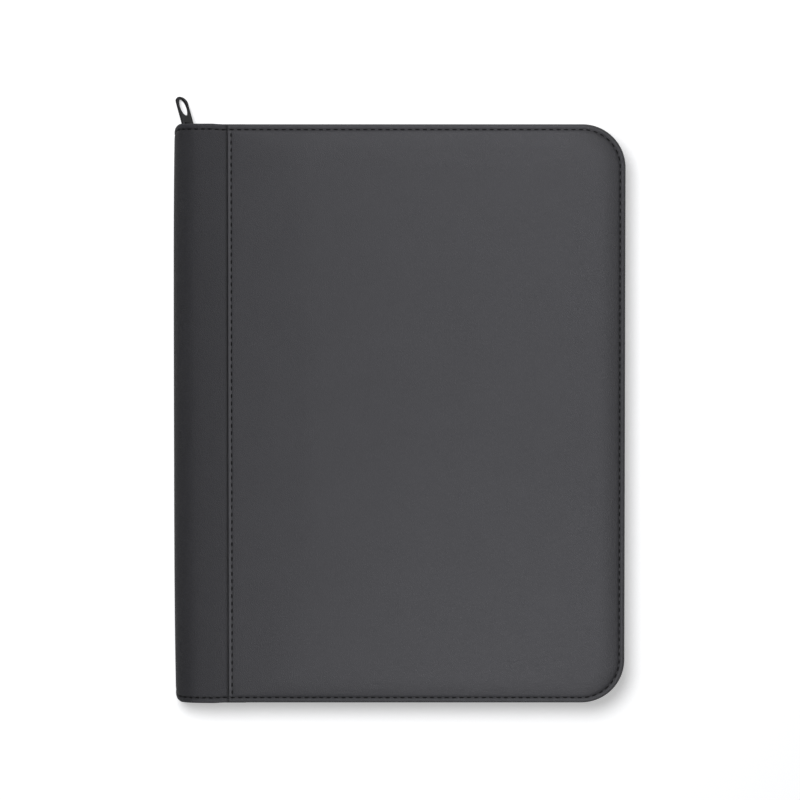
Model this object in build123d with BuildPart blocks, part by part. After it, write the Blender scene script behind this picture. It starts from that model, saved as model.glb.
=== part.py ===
"""Zippered padfolio: a turned-edge leatherette case that opens like a book about a soft
spine, closed on three sides by a moulded-tooth zipper, with a writing pad and an organiser.

Frame, in millimetres: it lies closed on its rear cover. +Z is up through the front cover,
+Y is the head of the cover, the spine is on the -X side. The origin is on the rear cover's
outer face, at the middle of the closed case.
"""

from math import cos, floor, pi, radians, sin, sqrt
import os

from build123d import *

# Case, whose plan follows from the pad and the pen loop that it holds
CASE_DEPTH = 28.0          # rim face to rim face, without the padding of the front cover
CORNER_RADIUS = 25.0       # the two corners of the fore edge
SPINE_END_RADIUS = 4.0     # plan rounding where the spine meets head and tail
SPINE_CROWN = 24.0         # reach of the spine's elliptic rounding over each cover
SPINE_BAND = 31.0          # spine leather that shows on each cover, up to the seam
SPINE_TAIL = 10.0          # spine leather hidden under the cover panel

# Layers of a cover, from the outside in
LEATHER = 1.0
BOARD = 1.6
TAPE = 0.6
TURN_IN = 0.8              # leather turned in over the tape
LINING = 0.8
EDGE_ROUND = 0.9           # rounded outer edge of a turned panel
PILLOW_RISE = 1.4          # crown of the padded front cover
PILLOW_START = 3.8         # from the panel's edge, just inside the stitch line
PILLOW_SLOPE = 15.0        # width of the sloping border of the crown
FIT = 0.2                  # gap between layers laid side by side
FOLD_GAP = 1.0             # from the end of the spine's rounding to the boards
SPINE_FOAM = BOARD         # it carries the spine's lining level with the covers' linings
SPINE_END_GAP = 0.75       # from the slider to the spine's foam and lining

# Zipper
TAPE_INSET = 5.4           # from the case's edge to the tape's outer face
TAPE_START = 5.5           # from the spine's outer face to the tape's end
BEAD = 1.3                 # height of the corded edge that carries the teeth
BEAD_DEPTH = 2.4           # its width, through the tape's thickness
TOOTH_PITCH = 4.0
TOOTH_ROOT = 1.7
TOOTH_TIP = 1.1
TOOTH_HEIGHT = 2.2         # above the bead
TOOTH_DEPTH = 2.0          # through the tape's thickness
TOOTH_REACH = 0.6          # past the meeting plane of the two rows
TOOTH_START = 4.0          # from the tape's end to the first tooth
STOP_LENGTH = 1.6          # moulded stop at the head end of each row
STOP_SIZE = 1.6
RETAINER_GRIP = 0.4        # below the bead
RETAINER_LENGTH = 2.6      # stop at the tail end, where the slider rests when open
RETAINER_DEPTH = 3.6
RETAINER_RISE = 0.8        # past the meeting plane

# Slider, bail and pull
SLIDER_LENGTH = 11.0
SLIDER_MOUTH = 9.8         # height at the dividing end
SLIDER_TAIL = 8.4          # height at the closing end
SLIDER_WALL = 1.1
SLIDER_CORNER = 1.5
SLIDER_TAPE_SLOT = 1.0
SLIDER_CHANNEL = 6.7       # height of the channel for the two rows
SLIDER_CLEARANCE = 0.25    # to the teeth, on each face
SLIDER_INSET = 3.9         # from the spine's outer face to the slider's mouth
DIVIDER_INSET = 0.3
DIVIDER_LENGTH = 3.6
DIVIDER_HEIGHT = 2.2
BAIL_SPAN = 9.2
BAIL_WIDTH = 1.4
BAIL_THICKNESS = 0.9
BAIL_GAP = 2.5
PULL_LENGTH = 22.2         # from its pivot to its tip
PULL_WIDTH = 8.2
PULL_THICKNESS = 1.4
PULL_BAR = 1.2
PULL_BASE_CORNER = 2.6
PULL_EYE_WIDTH = 5.0
PULL_EYE_LENGTH = 2.2
PULL_EYE_CORNER = 0.7
PULL_HOLE_START = 8.6      # from the pivot
PULL_HOLE_WIDTH = 5.2
PULL_RIM = 1.5
PULL_LEAN = 17.0           # degrees towards the spine
PULL_DROOP = 33.0          # degrees below the horizontal, tip close to the table
PULL_ROLL = 45.0           # degrees about its own length
PULL_OFFSET = -1.6         # where the bail crosses the eye, along the pivot bar

# Writing pad and its sleeve
PAD_WIDTH = 216.0
PAD_HEIGHT = 279.0
PAD_BACKING = 1.0
PAD_PAPER = 5.0
PAD_BINDING = 0.5
PAD_BINDING_WIDTH = 22.0
PAD_FORE_MARGIN = 11.0     # from the pad to the case's outer edge
PAD_HEAD_MARGIN = 33.5
PAD_TAIL_MARGIN = 21.5
PAD_CLEARANCE = 0.3
PAD_HEAD_GAP = 3.0         # from the sleeve's open edge to where the sheets reach the backing
SLEEVE_OPEN = 33.5         # from the pad's head to the open edge of the sleeve
POCKET_PANEL = 0.8
POCKET_SEAM = 4.0          # width of a pocket's sewn border
POCKET_SLOT = 1.6
POCKET_CORNER = 8.0        # rounded tail corners

# Organiser in the front cover
POCKET_HEAD_MARGIN = 75.0  # from the case's outer edges to the document pocket
POCKET_TAIL_MARGIN = 15.0
POCKET_SPINE_MARGIN = 38.0
POCKET_FORE_MARGIN = 12.0
CARD_PANEL = 0.5
CARD_SLOT = 0.5
CARD_SEAM = 2.5
CARD_CORNER = 2.0
CARD_WIDTH = 92.0
CARD_HEIGHT = 56.0
CARD_STEP = 16.0
CARD_COUNT = 3
CARD_SIDE_MARGIN = 18.0    # from the document pocket's edges to the first card pocket
CARD_HEAD_MARGIN = 22.0
WINDOW_WIDTH = 104.0
WINDOW_HEIGHT = 72.0
WINDOW_BORDER = 9.0
WINDOW_FILM = 0.3
WINDOW_SIDE_MARGIN = 18.0  # from the document pocket's edges to the card window
WINDOW_TAIL_MARGIN = 16.0

# Pen loop
PEN_BORE = 11.0
PEN_ELASTIC = 0.8
PEN_LENGTH = 24.0
PEN_TAB = 7.0              # from the middle of the loop to the end of its sewn tab
PEN_SEAT = 0.2             # above the lining
PEN_SPINE_MARGIN = 14.9    # from the spine's outer face to the loop
PEN_GAP = 1.2              # from the loop to the pad's sleeve
PEN_Y = 20.0

# Sizes that follow from those above
SLEEVE_ROOM = POCKET_SEAM + PAD_CLEARANCE
PEN_OUTER = PEN_BORE + 2 * PEN_ELASTIC
PAD_SPINE_MARGIN = PEN_SPINE_MARGIN + PEN_OUTER + PEN_GAP + SLEEVE_ROOM
CASE_WIDTH = PAD_SPINE_MARGIN + PAD_WIDTH + PAD_FORE_MARGIN
CASE_HEIGHT = PAD_TAIL_MARGIN + PAD_HEIGHT + PAD_HEAD_MARGIN
HALF_WIDTH = CASE_WIDTH / 2
HALF_HEIGHT = CASE_HEIGHT / 2
MEETING = CASE_DEPTH / 2
SEAM_X = -HALF_WIDTH + SPINE_BAND
TAIL_X = SEAM_X + SPINE_TAIL
ROUND_X = -HALF_WIDTH + SPINE_CROWN
SPINE_HALF = MEETING - LEATHER
FOLD_X = ROUND_X + FOLD_GAP
BOARD_AT = 2 * LEATHER
TAPE_AT = BOARD_AT + BOARD
TURN_AT = TAPE_AT + TAPE
RIM = TURN_AT + TURN_IN
INSIDE = TAPE_AT + LINING
TAPE_X = -HALF_WIDTH + TAPE_START
ROW_INSET = TAPE_INSET + TAPE / 2
ROW_Y = HALF_HEIGHT - ROW_INSET
ROW_RADIUS = CORNER_RADIUS - ROW_INSET
TOOTH_TOP = MEETING + TOOTH_REACH
BEAD_TOP = TOOTH_TOP - TOOTH_HEIGHT
BEAD_AT = BEAD_TOP - BEAD
FLATNESS = ((SPINE_CROWN - SPINE_HALF) / (SPINE_CROWN + SPINE_HALF)) ** 2
SPINE_GIRTH = (pi / 4) * (SPINE_CROWN + SPINE_HALF) * (1 + 3 * FLATNESS / (10 + sqrt(4 - 3 * FLATNESS)))
HINGE_INSET = (SPINE_CROWN + SPINE_HALF - SPINE_GIRTH) / 2
HINGE_X = -HALF_WIDTH + HINGE_INSET
HINGE_AT = LEATHER + HINGE_INSET
POCKET_AT = INSIDE + POCKET_SLOT
CARD_AT = POCKET_AT + POCKET_PANEL
PAPER_AT = CARD_AT + PAD_CLEARANCE
PAPER_TOP = PAPER_AT + PAD_PAPER
BACKING_AT = INSIDE + PAD_CLEARANCE
PAD_LEFT = -HALF_WIDTH + PAD_SPINE_MARGIN
PAD_BOTTOM = -HALF_HEIGHT + PAD_TAIL_MARGIN
PAD_TOP = PAD_BOTTOM + PAD_HEIGHT
SLEEVE_TOP = PAD_TOP - SLEEVE_OPEN
PEN_X = -HALF_WIDTH + PEN_SPINE_MARGIN + PEN_OUTER / 2
POCKET_LEFT = -HALF_WIDTH + POCKET_SPINE_MARGIN
POCKET_RIGHT = HALF_WIDTH - POCKET_FORE_MARGIN
POCKET_BOTTOM = -HALF_HEIGHT + POCKET_TAIL_MARGIN
POCKET_TOP = HALF_HEIGHT - POCKET_HEAD_MARGIN
CARD_X = POCKET_LEFT + CARD_SIDE_MARGIN + CARD_WIDTH / 2
CARD_TOP = POCKET_TOP - CARD_HEAD_MARGIN
WINDOW_X = POCKET_RIGHT - WINDOW_SIDE_MARGIN - WINDOW_WIDTH / 2
WINDOW_Y = POCKET_BOTTOM + WINDOW_TAIL_MARGIN + WINDOW_HEIGHT / 2
SLIDER_X = -HALF_WIDTH + SLIDER_INSET + SLIDER_LENGTH / 2
SLIDER_INNER = BEAD_DEPTH / 2 + SLIDER_CLEARANCE
SLIDER_OUTER = SLIDER_INNER + SLIDER_WALL
SPINE_INNER_HALF = ROW_Y - SLIDER_OUTER - SPINE_END_GAP

# Each cover is drawn on its own outer face and built inwards from there
REAR = Plane.XY
FRONT = Plane((0, 0, CASE_DEPTH), x_dir=(1, 0, 0), z_dir=(0, 0, -1))

os.makedirs("parts", exist_ok=True)


def save(piece, name):
    piece.label = name
    export_step(piece, f"parts/{name}.step")


def outline(plan, inset, left):
    """Plan of the case, drawn in from its edge, from x = left to the fore edge."""
    right = HALF_WIDTH - inset
    with Locations(((left + right) / 2, 0)):
        Rectangle(right - left, CASE_HEIGHT - 2 * inset)
    fillet(plan.vertices().sort_by(Axis.X)[-2:], CORNER_RADIUS - inset)


def slab(cover, start, thickness, inset, left):
    """A layer over the whole plan of a cover, from a depth below its outer face."""
    with BuildPart() as layer:
        with BuildSketch(cover.offset(start)) as plan:
            outline(plan, inset, left)
        extrude(amount=thickness)
    return layer.part


def border(cover, start, thickness, inset, inner, left):
    """A band that follows head, fore edge and tail, between two insets."""
    whole = slab(cover, start, thickness, inset, left)
    middle = slab(cover, start, thickness, inner, left - inner)
    with BuildPart() as band:
        add(whole)
        add(middle, mode=Mode.SUBTRACT)
    return band.part


def block(cover, start, thickness, x, y):
    """A plate over a range of x and of y, from a depth below a cover's outer face."""
    side = cover.y_dir.Y
    with BuildPart() as plate:
        with BuildSketch(cover.offset(start)):
            with Locations(((x[0] + x[1]) / 2, side * (y[0] + y[1]) / 2)):
                Rectangle(x[1] - x[0], y[1] - y[0])
        extrude(amount=thickness)
    return plate.part


def crown(cover, depth, inset):
    """Padding of the front cover: a low crown with sloping borders, base at a depth."""
    with BuildPart() as pad:
        for height, step in ((0.0, 0.0), (PILLOW_RISE, PILLOW_SLOPE)):
            with BuildSketch(cover.offset(depth - height)) as plan:
                outline(plan, inset + step, SEAM_X + inset + step)
        loft(ruled=True)
    return pad.part


def cover_panel(cover):
    """Leather of one cover, turned in round head, fore edge and tail."""
    room = slab(cover, LEATHER, TURN_AT - LEATHER, LEATHER, SEAM_X - LEATHER)
    window = slab(cover, TURN_AT, TURN_IN, TAPE_INSET - FIT, SEAM_X - LEATHER)
    with BuildPart() as panel:
        with BuildSketch(cover) as plan:
            outline(plan, 0, SEAM_X)
        extrude(amount=RIM)
        face = panel.faces().sort_by(Axis((0, 0, 0), cover.z_dir))[0]
        fillet(face.edges().filter_by(lambda edge: edge.center().X > SEAM_X + FIT), EDGE_ROUND)
        add(room, mode=Mode.SUBTRACT)
        add(window, mode=Mode.SUBTRACT)
    return panel.part


def cover_foam(cover):
    """Thin foam between the leather and the board, beside the spine leather's tail."""
    return slab(cover, LEATHER, BOARD_AT - LEATHER, LEATHER + FIT, TAIL_X + FIT)


def cover_board(cover):
    """Stiff board of a cover, up to the flexible strip beside the spine."""
    return slab(cover, BOARD_AT, BOARD, LEATHER + FIT, FOLD_X)


def spine_form(inset, right, half_length):
    """Solid form of the spine between the covers, drawn in from its outer face."""
    height = 2 * (SPINE_HALF - inset)
    with BuildPart() as form:
        with BuildSketch(Plane.XZ):
            with Locations((ROUND_X, MEETING)):
                Ellipse(SPINE_CROWN - inset, height / 2)
            with Locations(((ROUND_X + right) / 2, MEETING)):
                Rectangle(right - ROUND_X, height)
            with Locations((right + SPINE_CROWN, MEETING)):
                Rectangle(2 * SPINE_CROWN, height, mode=Mode.SUBTRACT)
        extrude(amount=half_length, both=True)
    return form.part


def spine_skin(inset, thickness, right, half_length):
    """A layer bent round the spine, from one cover to the other, open towards the fore edge."""
    outside = spine_form(inset, right, half_length)
    inside = spine_form(inset + thickness, right + thickness, half_length)
    left = -HALF_WIDTH + inset
    with BuildPart() as skin:
        add(outside)
        add(inside, mode=Mode.SUBTRACT)
        with BuildSketch(Plane.XY) as plan:
            with Locations(((left + right) / 2, 0)):
                Rectangle(right - left, 2 * half_length)
            fillet(plan.vertices().sort_by(Axis.X)[:2], SPINE_END_RADIUS)
        extrude(amount=CASE_DEPTH, mode=Mode.INTERSECT)
    return skin.part


# A fold runs through the middle of each rounding, on the plane through its hinge line
REAR_FOLD = Plane((HINGE_X, 0, HINGE_AT), x_dir=(0, 1, 0), z_dir=(-1, 0, 1))
FRONT_FOLD = Plane((HINGE_X, 0, CASE_DEPTH - HINGE_AT), x_dir=(0, 1, 0), z_dir=(-1, 0, -1))


def spine_hem():
    """Spine leather turned in at head and tail, on the inside of the spine."""
    whole = spine_skin(LEATHER, TURN_IN, FOLD_X - FIT, HALF_HEIGHT)
    with BuildPart() as hem:
        add(whole)
        with BuildSketch(Plane.XY):
            Rectangle(2 * CASE_WIDTH, CASE_HEIGHT - 2 * (TAPE_INSET - FIT))
        extrude(amount=CASE_DEPTH, mode=Mode.SUBTRACT)
    return hem.part


def between_folds(layers):
    """The share of some spine layers between the two folds."""
    with BuildPart() as middle:
        add(layers)
        split(bisect_by=REAR_FOLD, keep=Keep.TOP)
        split(bisect_by=FRONT_FOLD, keep=Keep.TOP)
    return middle.part


def cover_lining(cover, fold):
    """Lining of a cover, inside the zipper tape, and on round to the fold of the spine."""
    flat = slab(cover, TAPE_AT, LINING, TAPE_INSET + TAPE + FIT, ROUND_X)
    bent = spine_skin(LEATHER + SPINE_FOAM, LINING, ROUND_X, SPINE_INNER_HALF)
    with BuildPart() as lining:
        add(bent)
        split(bisect_by=fold, keep=Keep.BOTTOM)
        split(bisect_by=Plane((0, 0, MEETING), z_dir=cover.z_dir), keep=Keep.BOTTOM)
        add(flat)
    return lining.part


def spine_band(cover, fold):
    """Spine leather that runs on to a cover: its band, its tail and its turned ends."""
    whole = spine_skin(0, LEATHER, TAIL_X, HALF_HEIGHT)
    turned = spine_hem()
    hem = []
    trim = []
    for end in (1, -1):
        wall = sorted((end * (HALF_HEIGHT - LEATHER), end * HALF_HEIGHT))
        turn = sorted((end * (HALF_HEIGHT - TAPE_INSET + FIT), end * HALF_HEIGHT))
        hem.append(block(cover, LEATHER, RIM - LEATHER, (FOLD_X, SEAM_X), wall))
        hem.append(block(cover, TURN_AT, TURN_IN, (FOLD_X, SEAM_X), turn))
        waste = sorted((end * (HALF_HEIGHT - LEATHER - FIT), end * (HALF_HEIGHT + FIT)))
        trim.append(block(cover, LEATHER, LEATHER, (SEAM_X, TAIL_X + FIT), waste))
    with BuildPart() as band:
        add(whole)
        add(turned)
        split(bisect_by=fold, keep=Keep.BOTTOM)
        split(bisect_by=Plane((0, 0, MEETING), z_dir=cover.z_dir), keep=Keep.BOTTOM)
        add(hem)
        add(trim, mode=Mode.SUBTRACT)
    return band.part


def zipper_tape(cover):
    """Woven tape: a flange sewn under the turned leather and a wall up to its bead."""
    flange = border(cover, TAPE_AT, TAPE, LEATHER + FIT, TAPE_INSET + TAPE, FOLD_X)
    wall = border(cover, TAPE_AT, BEAD_AT - TAPE_AT, TAPE_INSET, TAPE_INSET + TAPE, TAPE_X)
    room = spine_form(LEATHER + FIT, HALF_WIDTH, HALF_HEIGHT)
    with BuildPart() as tape:
        add(wall)
        add(room, mode=Mode.INTERSECT)
        add(flange)
    return tape.part


def row_path():
    """Middle line of the tooth rows, from the head of the spine round to its tail."""
    corner_x = HALF_WIDTH - CORNER_RADIUS
    corner_y = HALF_HEIGHT - CORNER_RADIUS
    fore = HALF_WIDTH - ROW_INSET
    with BuildLine() as path:
        Line((TAPE_X, ROW_Y), (corner_x, ROW_Y))
        CenterArc((corner_x, corner_y), ROW_RADIUS, 90, -90)
        Line((fore, corner_y), (fore, -corner_y))
        CenterArc((corner_x, -corner_y), ROW_RADIUS, 0, -90)
        Line((corner_x, -ROW_Y), (TAPE_X, -ROW_Y))
    return path.wire()


def zipper_teeth(cover, shift):
    """One row: a corded bead, moulded teeth at an even pitch and a stop at the head end."""
    path = row_path()
    room = path.length - 2 * TOOTH_START - shift
    count = floor(room / TOOTH_PITCH) + 1
    half = BEAD_DEPTH / 2
    bead = border(cover, BEAD_AT, BEAD, ROW_INSET - half, ROW_INSET + half, TAPE_X)
    stop_y = (ROW_Y - TOOTH_DEPTH / 2, ROW_Y + TOOTH_DEPTH / 2)
    stop = block(cover, BEAD_AT, STOP_SIZE, (TAPE_X, TAPE_X + STOP_LENGTH), stop_y)
    up = cover.z_dir.Z
    with BuildPart() as tooth:
        with BuildSketch(Plane.XZ):
            root = cover.origin.Z + up * BEAD_TOP
            tip = cover.origin.Z + up * TOOTH_TOP
            with BuildLine():
                Polyline(
                    (-TOOTH_ROOT / 2, root),
                    (TOOTH_ROOT / 2, root),
                    (TOOTH_TIP / 2, tip),
                    (-TOOTH_TIP / 2, tip),
                    close=True,
                )
            make_face()
        extrude(amount=TOOTH_DEPTH / 2, both=True)
    teeth = []
    for index in range(count):
        along = (TOOTH_START + shift + index * TOOTH_PITCH) / path.length
        place = Plane(path @ along, x_dir=path % along, z_dir=(0, 0, 1))
        teeth.append(tooth.part.moved(place.location))
    with BuildPart() as row:
        add(bead)
        add(stop)
        add(teeth)
    return row.part


def pocket(cover, base, slot, panel, seam, corner, x, y):
    """A flat pocket sewn on three sides, open towards the head, on a face at a depth."""
    side = cover.y_dir.Y
    middle = ((x[0] + x[1]) / 2, side * (y[0] + y[1]) / 2)
    tail = slice(None, 2) if side > 0 else slice(-2, None)
    with BuildPart() as piece:
        with BuildSketch(cover.offset(base)) as seams:
            with Locations(middle):
                Rectangle(x[1] - x[0], y[1] - y[0])
            fillet(seams.vertices().sort_by(Axis.Y)[tail], corner)
            with Locations((middle[0], middle[1] + side * seam)):
                Rectangle(x[1] - x[0] - 2 * seam, y[1] - y[0], mode=Mode.SUBTRACT)
        extrude(amount=slot)
        with BuildSketch(cover.offset(base + slot)) as face:
            with Locations(middle):
                Rectangle(x[1] - x[0], y[1] - y[0])
            fillet(face.vertices().sort_by(Axis.Y)[tail], corner)
        extrude(amount=panel)
    return piece.part


# Rear cover
rear_panel = cover_panel(REAR)
save(rear_panel, "rear_cover_panel")
rear_foam = cover_foam(REAR)
save(rear_foam, "rear_foam")
rear_board = cover_board(REAR)
save(rear_board, "rear_board")
rear_lining = cover_lining(REAR, REAR_FOLD)
save(rear_lining, "rear_lining")
rear_band = spine_band(REAR, REAR_FOLD)
save(rear_band, "rear_spine_band")

# Front cover, whose leather and foam carry the crown
front_shell = cover_panel(FRONT)
front_crown = crown(FRONT, 0.0, PILLOW_START)
front_hollow = crown(FRONT, LEATHER, PILLOW_START)
with BuildPart() as front_cover_panel:
    add(front_shell)
    add(front_crown)
    add(front_hollow, mode=Mode.SUBTRACT)
save(front_cover_panel.part, "front_cover_panel")
front_sheet = cover_foam(FRONT)
with BuildPart() as front_foam:
    add(front_sheet)
    add(front_hollow)
save(front_foam.part, "front_foam")
front_board = cover_board(FRONT)
save(front_board, "front_board")
front_lining = cover_lining(FRONT, FRONT_FOLD)
save(front_lining, "front_lining")
front_band = spine_band(FRONT, FRONT_FOLD)
save(front_band, "front_spine_band")

# Spine between its two folds
spine_leather = spine_skin(0, LEATHER, TAIL_X, HALF_HEIGHT)
spine_turned = spine_hem()
spine_panel = between_folds([spine_leather, spine_turned])
save(spine_panel, "spine_panel")
spine_padding = spine_skin(LEATHER, SPINE_FOAM, ROUND_X, SPINE_INNER_HALF)
spine_foam = between_folds([spine_padding])
save(spine_foam, "spine_foam")
spine_inside = spine_skin(LEATHER + SPINE_FOAM + FIT / 10, LINING - FIT / 10, ROUND_X, SPINE_INNER_HALF)
spine_lining = between_folds([spine_inside])
save(spine_lining, "spine_lining")

# Zipper
rear_tape = zipper_tape(REAR)
save(rear_tape, "zipper_tape_rear")
front_tape = zipper_tape(FRONT)
save(front_tape, "zipper_tape_front")
rear_teeth = zipper_teeth(REAR, 0.0)
save(rear_teeth, "zipper_teeth_rear")
front_teeth = zipper_teeth(FRONT, TOOTH_PITCH / 2)
save(front_teeth, "zipper_teeth_front")

with BuildPart() as zipper_retainer:
    with BuildSketch(Plane.YZ.offset(TAPE_X)):
        low = BEAD_AT - RETAINER_GRIP
        high = MEETING + RETAINER_RISE
        with Locations((-ROW_Y, (low + high) / 2)):
            Rectangle(RETAINER_DEPTH, high - low)
        with Locations((-ROW_Y, BEAD_AT + BEAD / 2)):
            Rectangle(BEAD_DEPTH, BEAD, mode=Mode.SUBTRACT)
        with Locations((-ROW_Y, BEAD_AT - BEAD)):
            Rectangle(TAPE, 2 * BEAD, mode=Mode.SUBTRACT)
    extrude(amount=RETAINER_LENGTH)
save(zipper_retainer.part, "zipper_retainer")

# Slider: two wings joined by a divider, with a channel for the rows and a slot for the tapes
with BuildPart() as slider_body:
    with BuildSketch(Plane.XZ.offset(-ROW_Y)) as wing:
        with BuildLine():
            Polyline(
                (SLIDER_X - SLIDER_LENGTH / 2, MEETING - SLIDER_MOUTH / 2),
                (SLIDER_X, MEETING - SLIDER_MOUTH / 2),
                (SLIDER_X + SLIDER_LENGTH / 2, MEETING - SLIDER_TAIL / 2),
                (SLIDER_X + SLIDER_LENGTH / 2, MEETING + SLIDER_TAIL / 2),
                (SLIDER_X, MEETING + SLIDER_MOUTH / 2),
                (SLIDER_X - SLIDER_LENGTH / 2, MEETING + SLIDER_MOUTH / 2),
                close=True,
            )
        make_face()
        fillet(wing.vertices(), SLIDER_CORNER)
    extrude(amount=SLIDER_OUTER, both=True)
    with BuildSketch(Plane.YZ.offset(SLIDER_X)):
        with Locations((ROW_Y, MEETING)):
            Rectangle(2 * SLIDER_INNER, SLIDER_CHANNEL)
            Rectangle(SLIDER_TAPE_SLOT, 2 * SLIDER_MOUTH)
    extrude(amount=SLIDER_LENGTH, both=True, mode=Mode.SUBTRACT)
    with BuildSketch(Plane.XZ.offset(-ROW_Y)) as divider:
        nose = SLIDER_X - SLIDER_LENGTH / 2 + DIVIDER_INSET
        with BuildLine():
            Polyline(
                (nose, MEETING - DIVIDER_HEIGHT / 2),
                (nose + DIVIDER_LENGTH / 2, MEETING - DIVIDER_HEIGHT / 2),
                (nose + DIVIDER_LENGTH, MEETING),
                (nose + DIVIDER_LENGTH / 2, MEETING + DIVIDER_HEIGHT / 2),
                (nose, MEETING + DIVIDER_HEIGHT / 2),
                close=True,
            )
        make_face()
    extrude(amount=SLIDER_INNER, both=True)
save(slider_body.part, "slider_body")

with BuildPart() as slider_bail:
    with BuildSketch(Plane.XY.offset(MEETING - BAIL_WIDTH / 2)) as arch:
        foot = ROW_Y + SLIDER_OUTER
        with Locations((SLIDER_X, foot + (BAIL_GAP + BAIL_THICKNESS) / 2)):
            Rectangle(BAIL_SPAN, BAIL_GAP + BAIL_THICKNESS)
        fillet(arch.vertices().sort_by(Axis.Y)[-2:], BAIL_THICKNESS)
        with Locations((SLIDER_X, foot + BAIL_GAP / 2)):
            Rectangle(BAIL_SPAN - 2 * BAIL_THICKNESS, BAIL_GAP, mode=Mode.SUBTRACT)
    extrude(amount=BAIL_WIDTH)
save(slider_bail.part, "slider_bail")

# Pull: drawn flat along its own length, then placed leaning, drooping and rolled
pull_along = Vector(
    -sin(radians(PULL_LEAN)) * cos(radians(PULL_DROOP)),
    cos(radians(PULL_LEAN)) * cos(radians(PULL_DROOP)),
    -sin(radians(PULL_DROOP)),
)
pull_level = Vector(cos(radians(PULL_LEAN)), sin(radians(PULL_LEAN)), 0)
pull_up = pull_level.cross(pull_along)
pull_across = pull_level * cos(radians(PULL_ROLL)) - pull_up * sin(radians(PULL_ROLL))
pull_pivot = Vector(SLIDER_X, ROW_Y + SLIDER_OUTER + BAIL_GAP / 2, MEETING) + pull_across * PULL_OFFSET
PULL_PLANE = Plane(pull_pivot, x_dir=pull_along, z_dir=pull_along.cross(pull_across))
with BuildPart() as pull_tab:
    with BuildSketch(PULL_PLANE.offset(-PULL_THICKNESS / 2)) as tab:
        with Locations(((PULL_LENGTH - PULL_BAR / 2) / 2, 0)):
            Rectangle(PULL_LENGTH + PULL_BAR / 2, PULL_WIDTH)
        fillet(tab.vertices().sort_by(Axis.X)[-2:], PULL_WIDTH / 2 - FIT)
        fillet(tab.vertices().sort_by(Axis.X)[:2], PULL_BASE_CORNER)
        with Locations((PULL_BAR / 2 + PULL_EYE_LENGTH / 2, 0)):
            RectangleRounded(PULL_EYE_LENGTH, PULL_EYE_WIDTH, PULL_EYE_CORNER, mode=Mode.SUBTRACT)
        hole_end = PULL_LENGTH - PULL_RIM
        with Locations(((PULL_HOLE_START + hole_end) / 2, 0)):
            Ellipse((hole_end - PULL_HOLE_START) / 2, PULL_HOLE_WIDTH / 2, mode=Mode.SUBTRACT)
    extrude(amount=PULL_THICKNESS)
save(pull_tab.part, "pull_tab")

# Writing pad, whose backing slides in the sleeve of the rear cover
pad_sleeve = pocket(
    REAR, INSIDE, POCKET_SLOT, POCKET_PANEL, POCKET_SEAM, POCKET_CORNER,
    (PAD_LEFT - SLEEVE_ROOM, PAD_LEFT + PAD_WIDTH + SLEEVE_ROOM),
    (PAD_BOTTOM - SLEEVE_ROOM, SLEEVE_TOP),
)
save(pad_sleeve, "pad_sleeve")
pad_x = (PAD_LEFT, PAD_LEFT + PAD_WIDTH)
pad_backing = block(REAR, BACKING_AT, PAD_BACKING, pad_x, (PAD_BOTTOM, PAD_TOP))
save(pad_backing, "notepad_backing")
stack = block(REAR, PAPER_AT, PAD_PAPER, pad_x, (PAD_BOTTOM, PAD_TOP))
head_at = BACKING_AT + PAD_BACKING
head = block(REAR, head_at, PAPER_AT - head_at, pad_x, (SLEEVE_TOP + PAD_HEAD_GAP, PAD_TOP))
with BuildPart() as notepad_sheets:
    add(stack)
    add(head)
save(notepad_sheets.part, "notepad_sheets")
binding_top = block(REAR, PAPER_TOP, PAD_BINDING, pad_x, (PAD_TOP - PAD_BINDING_WIDTH, PAD_TOP))
binding_end = block(
    REAR, BACKING_AT, PAPER_TOP + PAD_BINDING - BACKING_AT, pad_x, (PAD_TOP, PAD_TOP + PAD_BINDING)
)
with BuildPart() as notepad_binding:
    add(binding_top)
    add(binding_end)
save(notepad_binding.part, "notepad_binding")

# Pen loop: an elastic ring on a tab sewn to the rear lining, beside the spine
pen_z = INSIDE + PEN_SEAT + PEN_OUTER / 2
with BuildPart() as pen_loop:
    with BuildSketch(Plane.XZ.offset(-PEN_Y - PEN_LENGTH / 2)):
        with Locations((PEN_X, pen_z)):
            Circle(PEN_OUTER / 2)
        with Locations((PEN_X + PEN_TAB / 2, INSIDE + PEN_SEAT + PEN_ELASTIC / 2)):
            Rectangle(PEN_TAB, PEN_ELASTIC)
        with Locations((PEN_X, pen_z)):
            Circle(PEN_BORE / 2, mode=Mode.SUBTRACT)
    extrude(amount=PEN_LENGTH)
save(pen_loop.part, "pen_loop")

# Organiser: document pocket, stepped card pockets and a clear card window
document_pocket = pocket(
    FRONT, INSIDE, POCKET_SLOT, POCKET_PANEL, POCKET_SEAM, POCKET_CORNER,
    (POCKET_LEFT, POCKET_RIGHT), (POCKET_BOTTOM, POCKET_TOP),
)
save(document_pocket, "document_pocket")
for index in range(CARD_COUNT):
    spread = CARD_WIDTH / 2 + index * (CARD_SEAM + FIT)
    top = CARD_TOP - index * CARD_STEP
    card_pocket = pocket(
        FRONT, CARD_AT, CARD_SLOT + index * (CARD_SLOT + CARD_PANEL), CARD_PANEL, CARD_SEAM, CARD_CORNER,
        (CARD_X - spread, CARD_X + spread), (top - CARD_HEIGHT, top),
    )
    save(card_pocket, f"card_pocket_{index + 1}")

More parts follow.
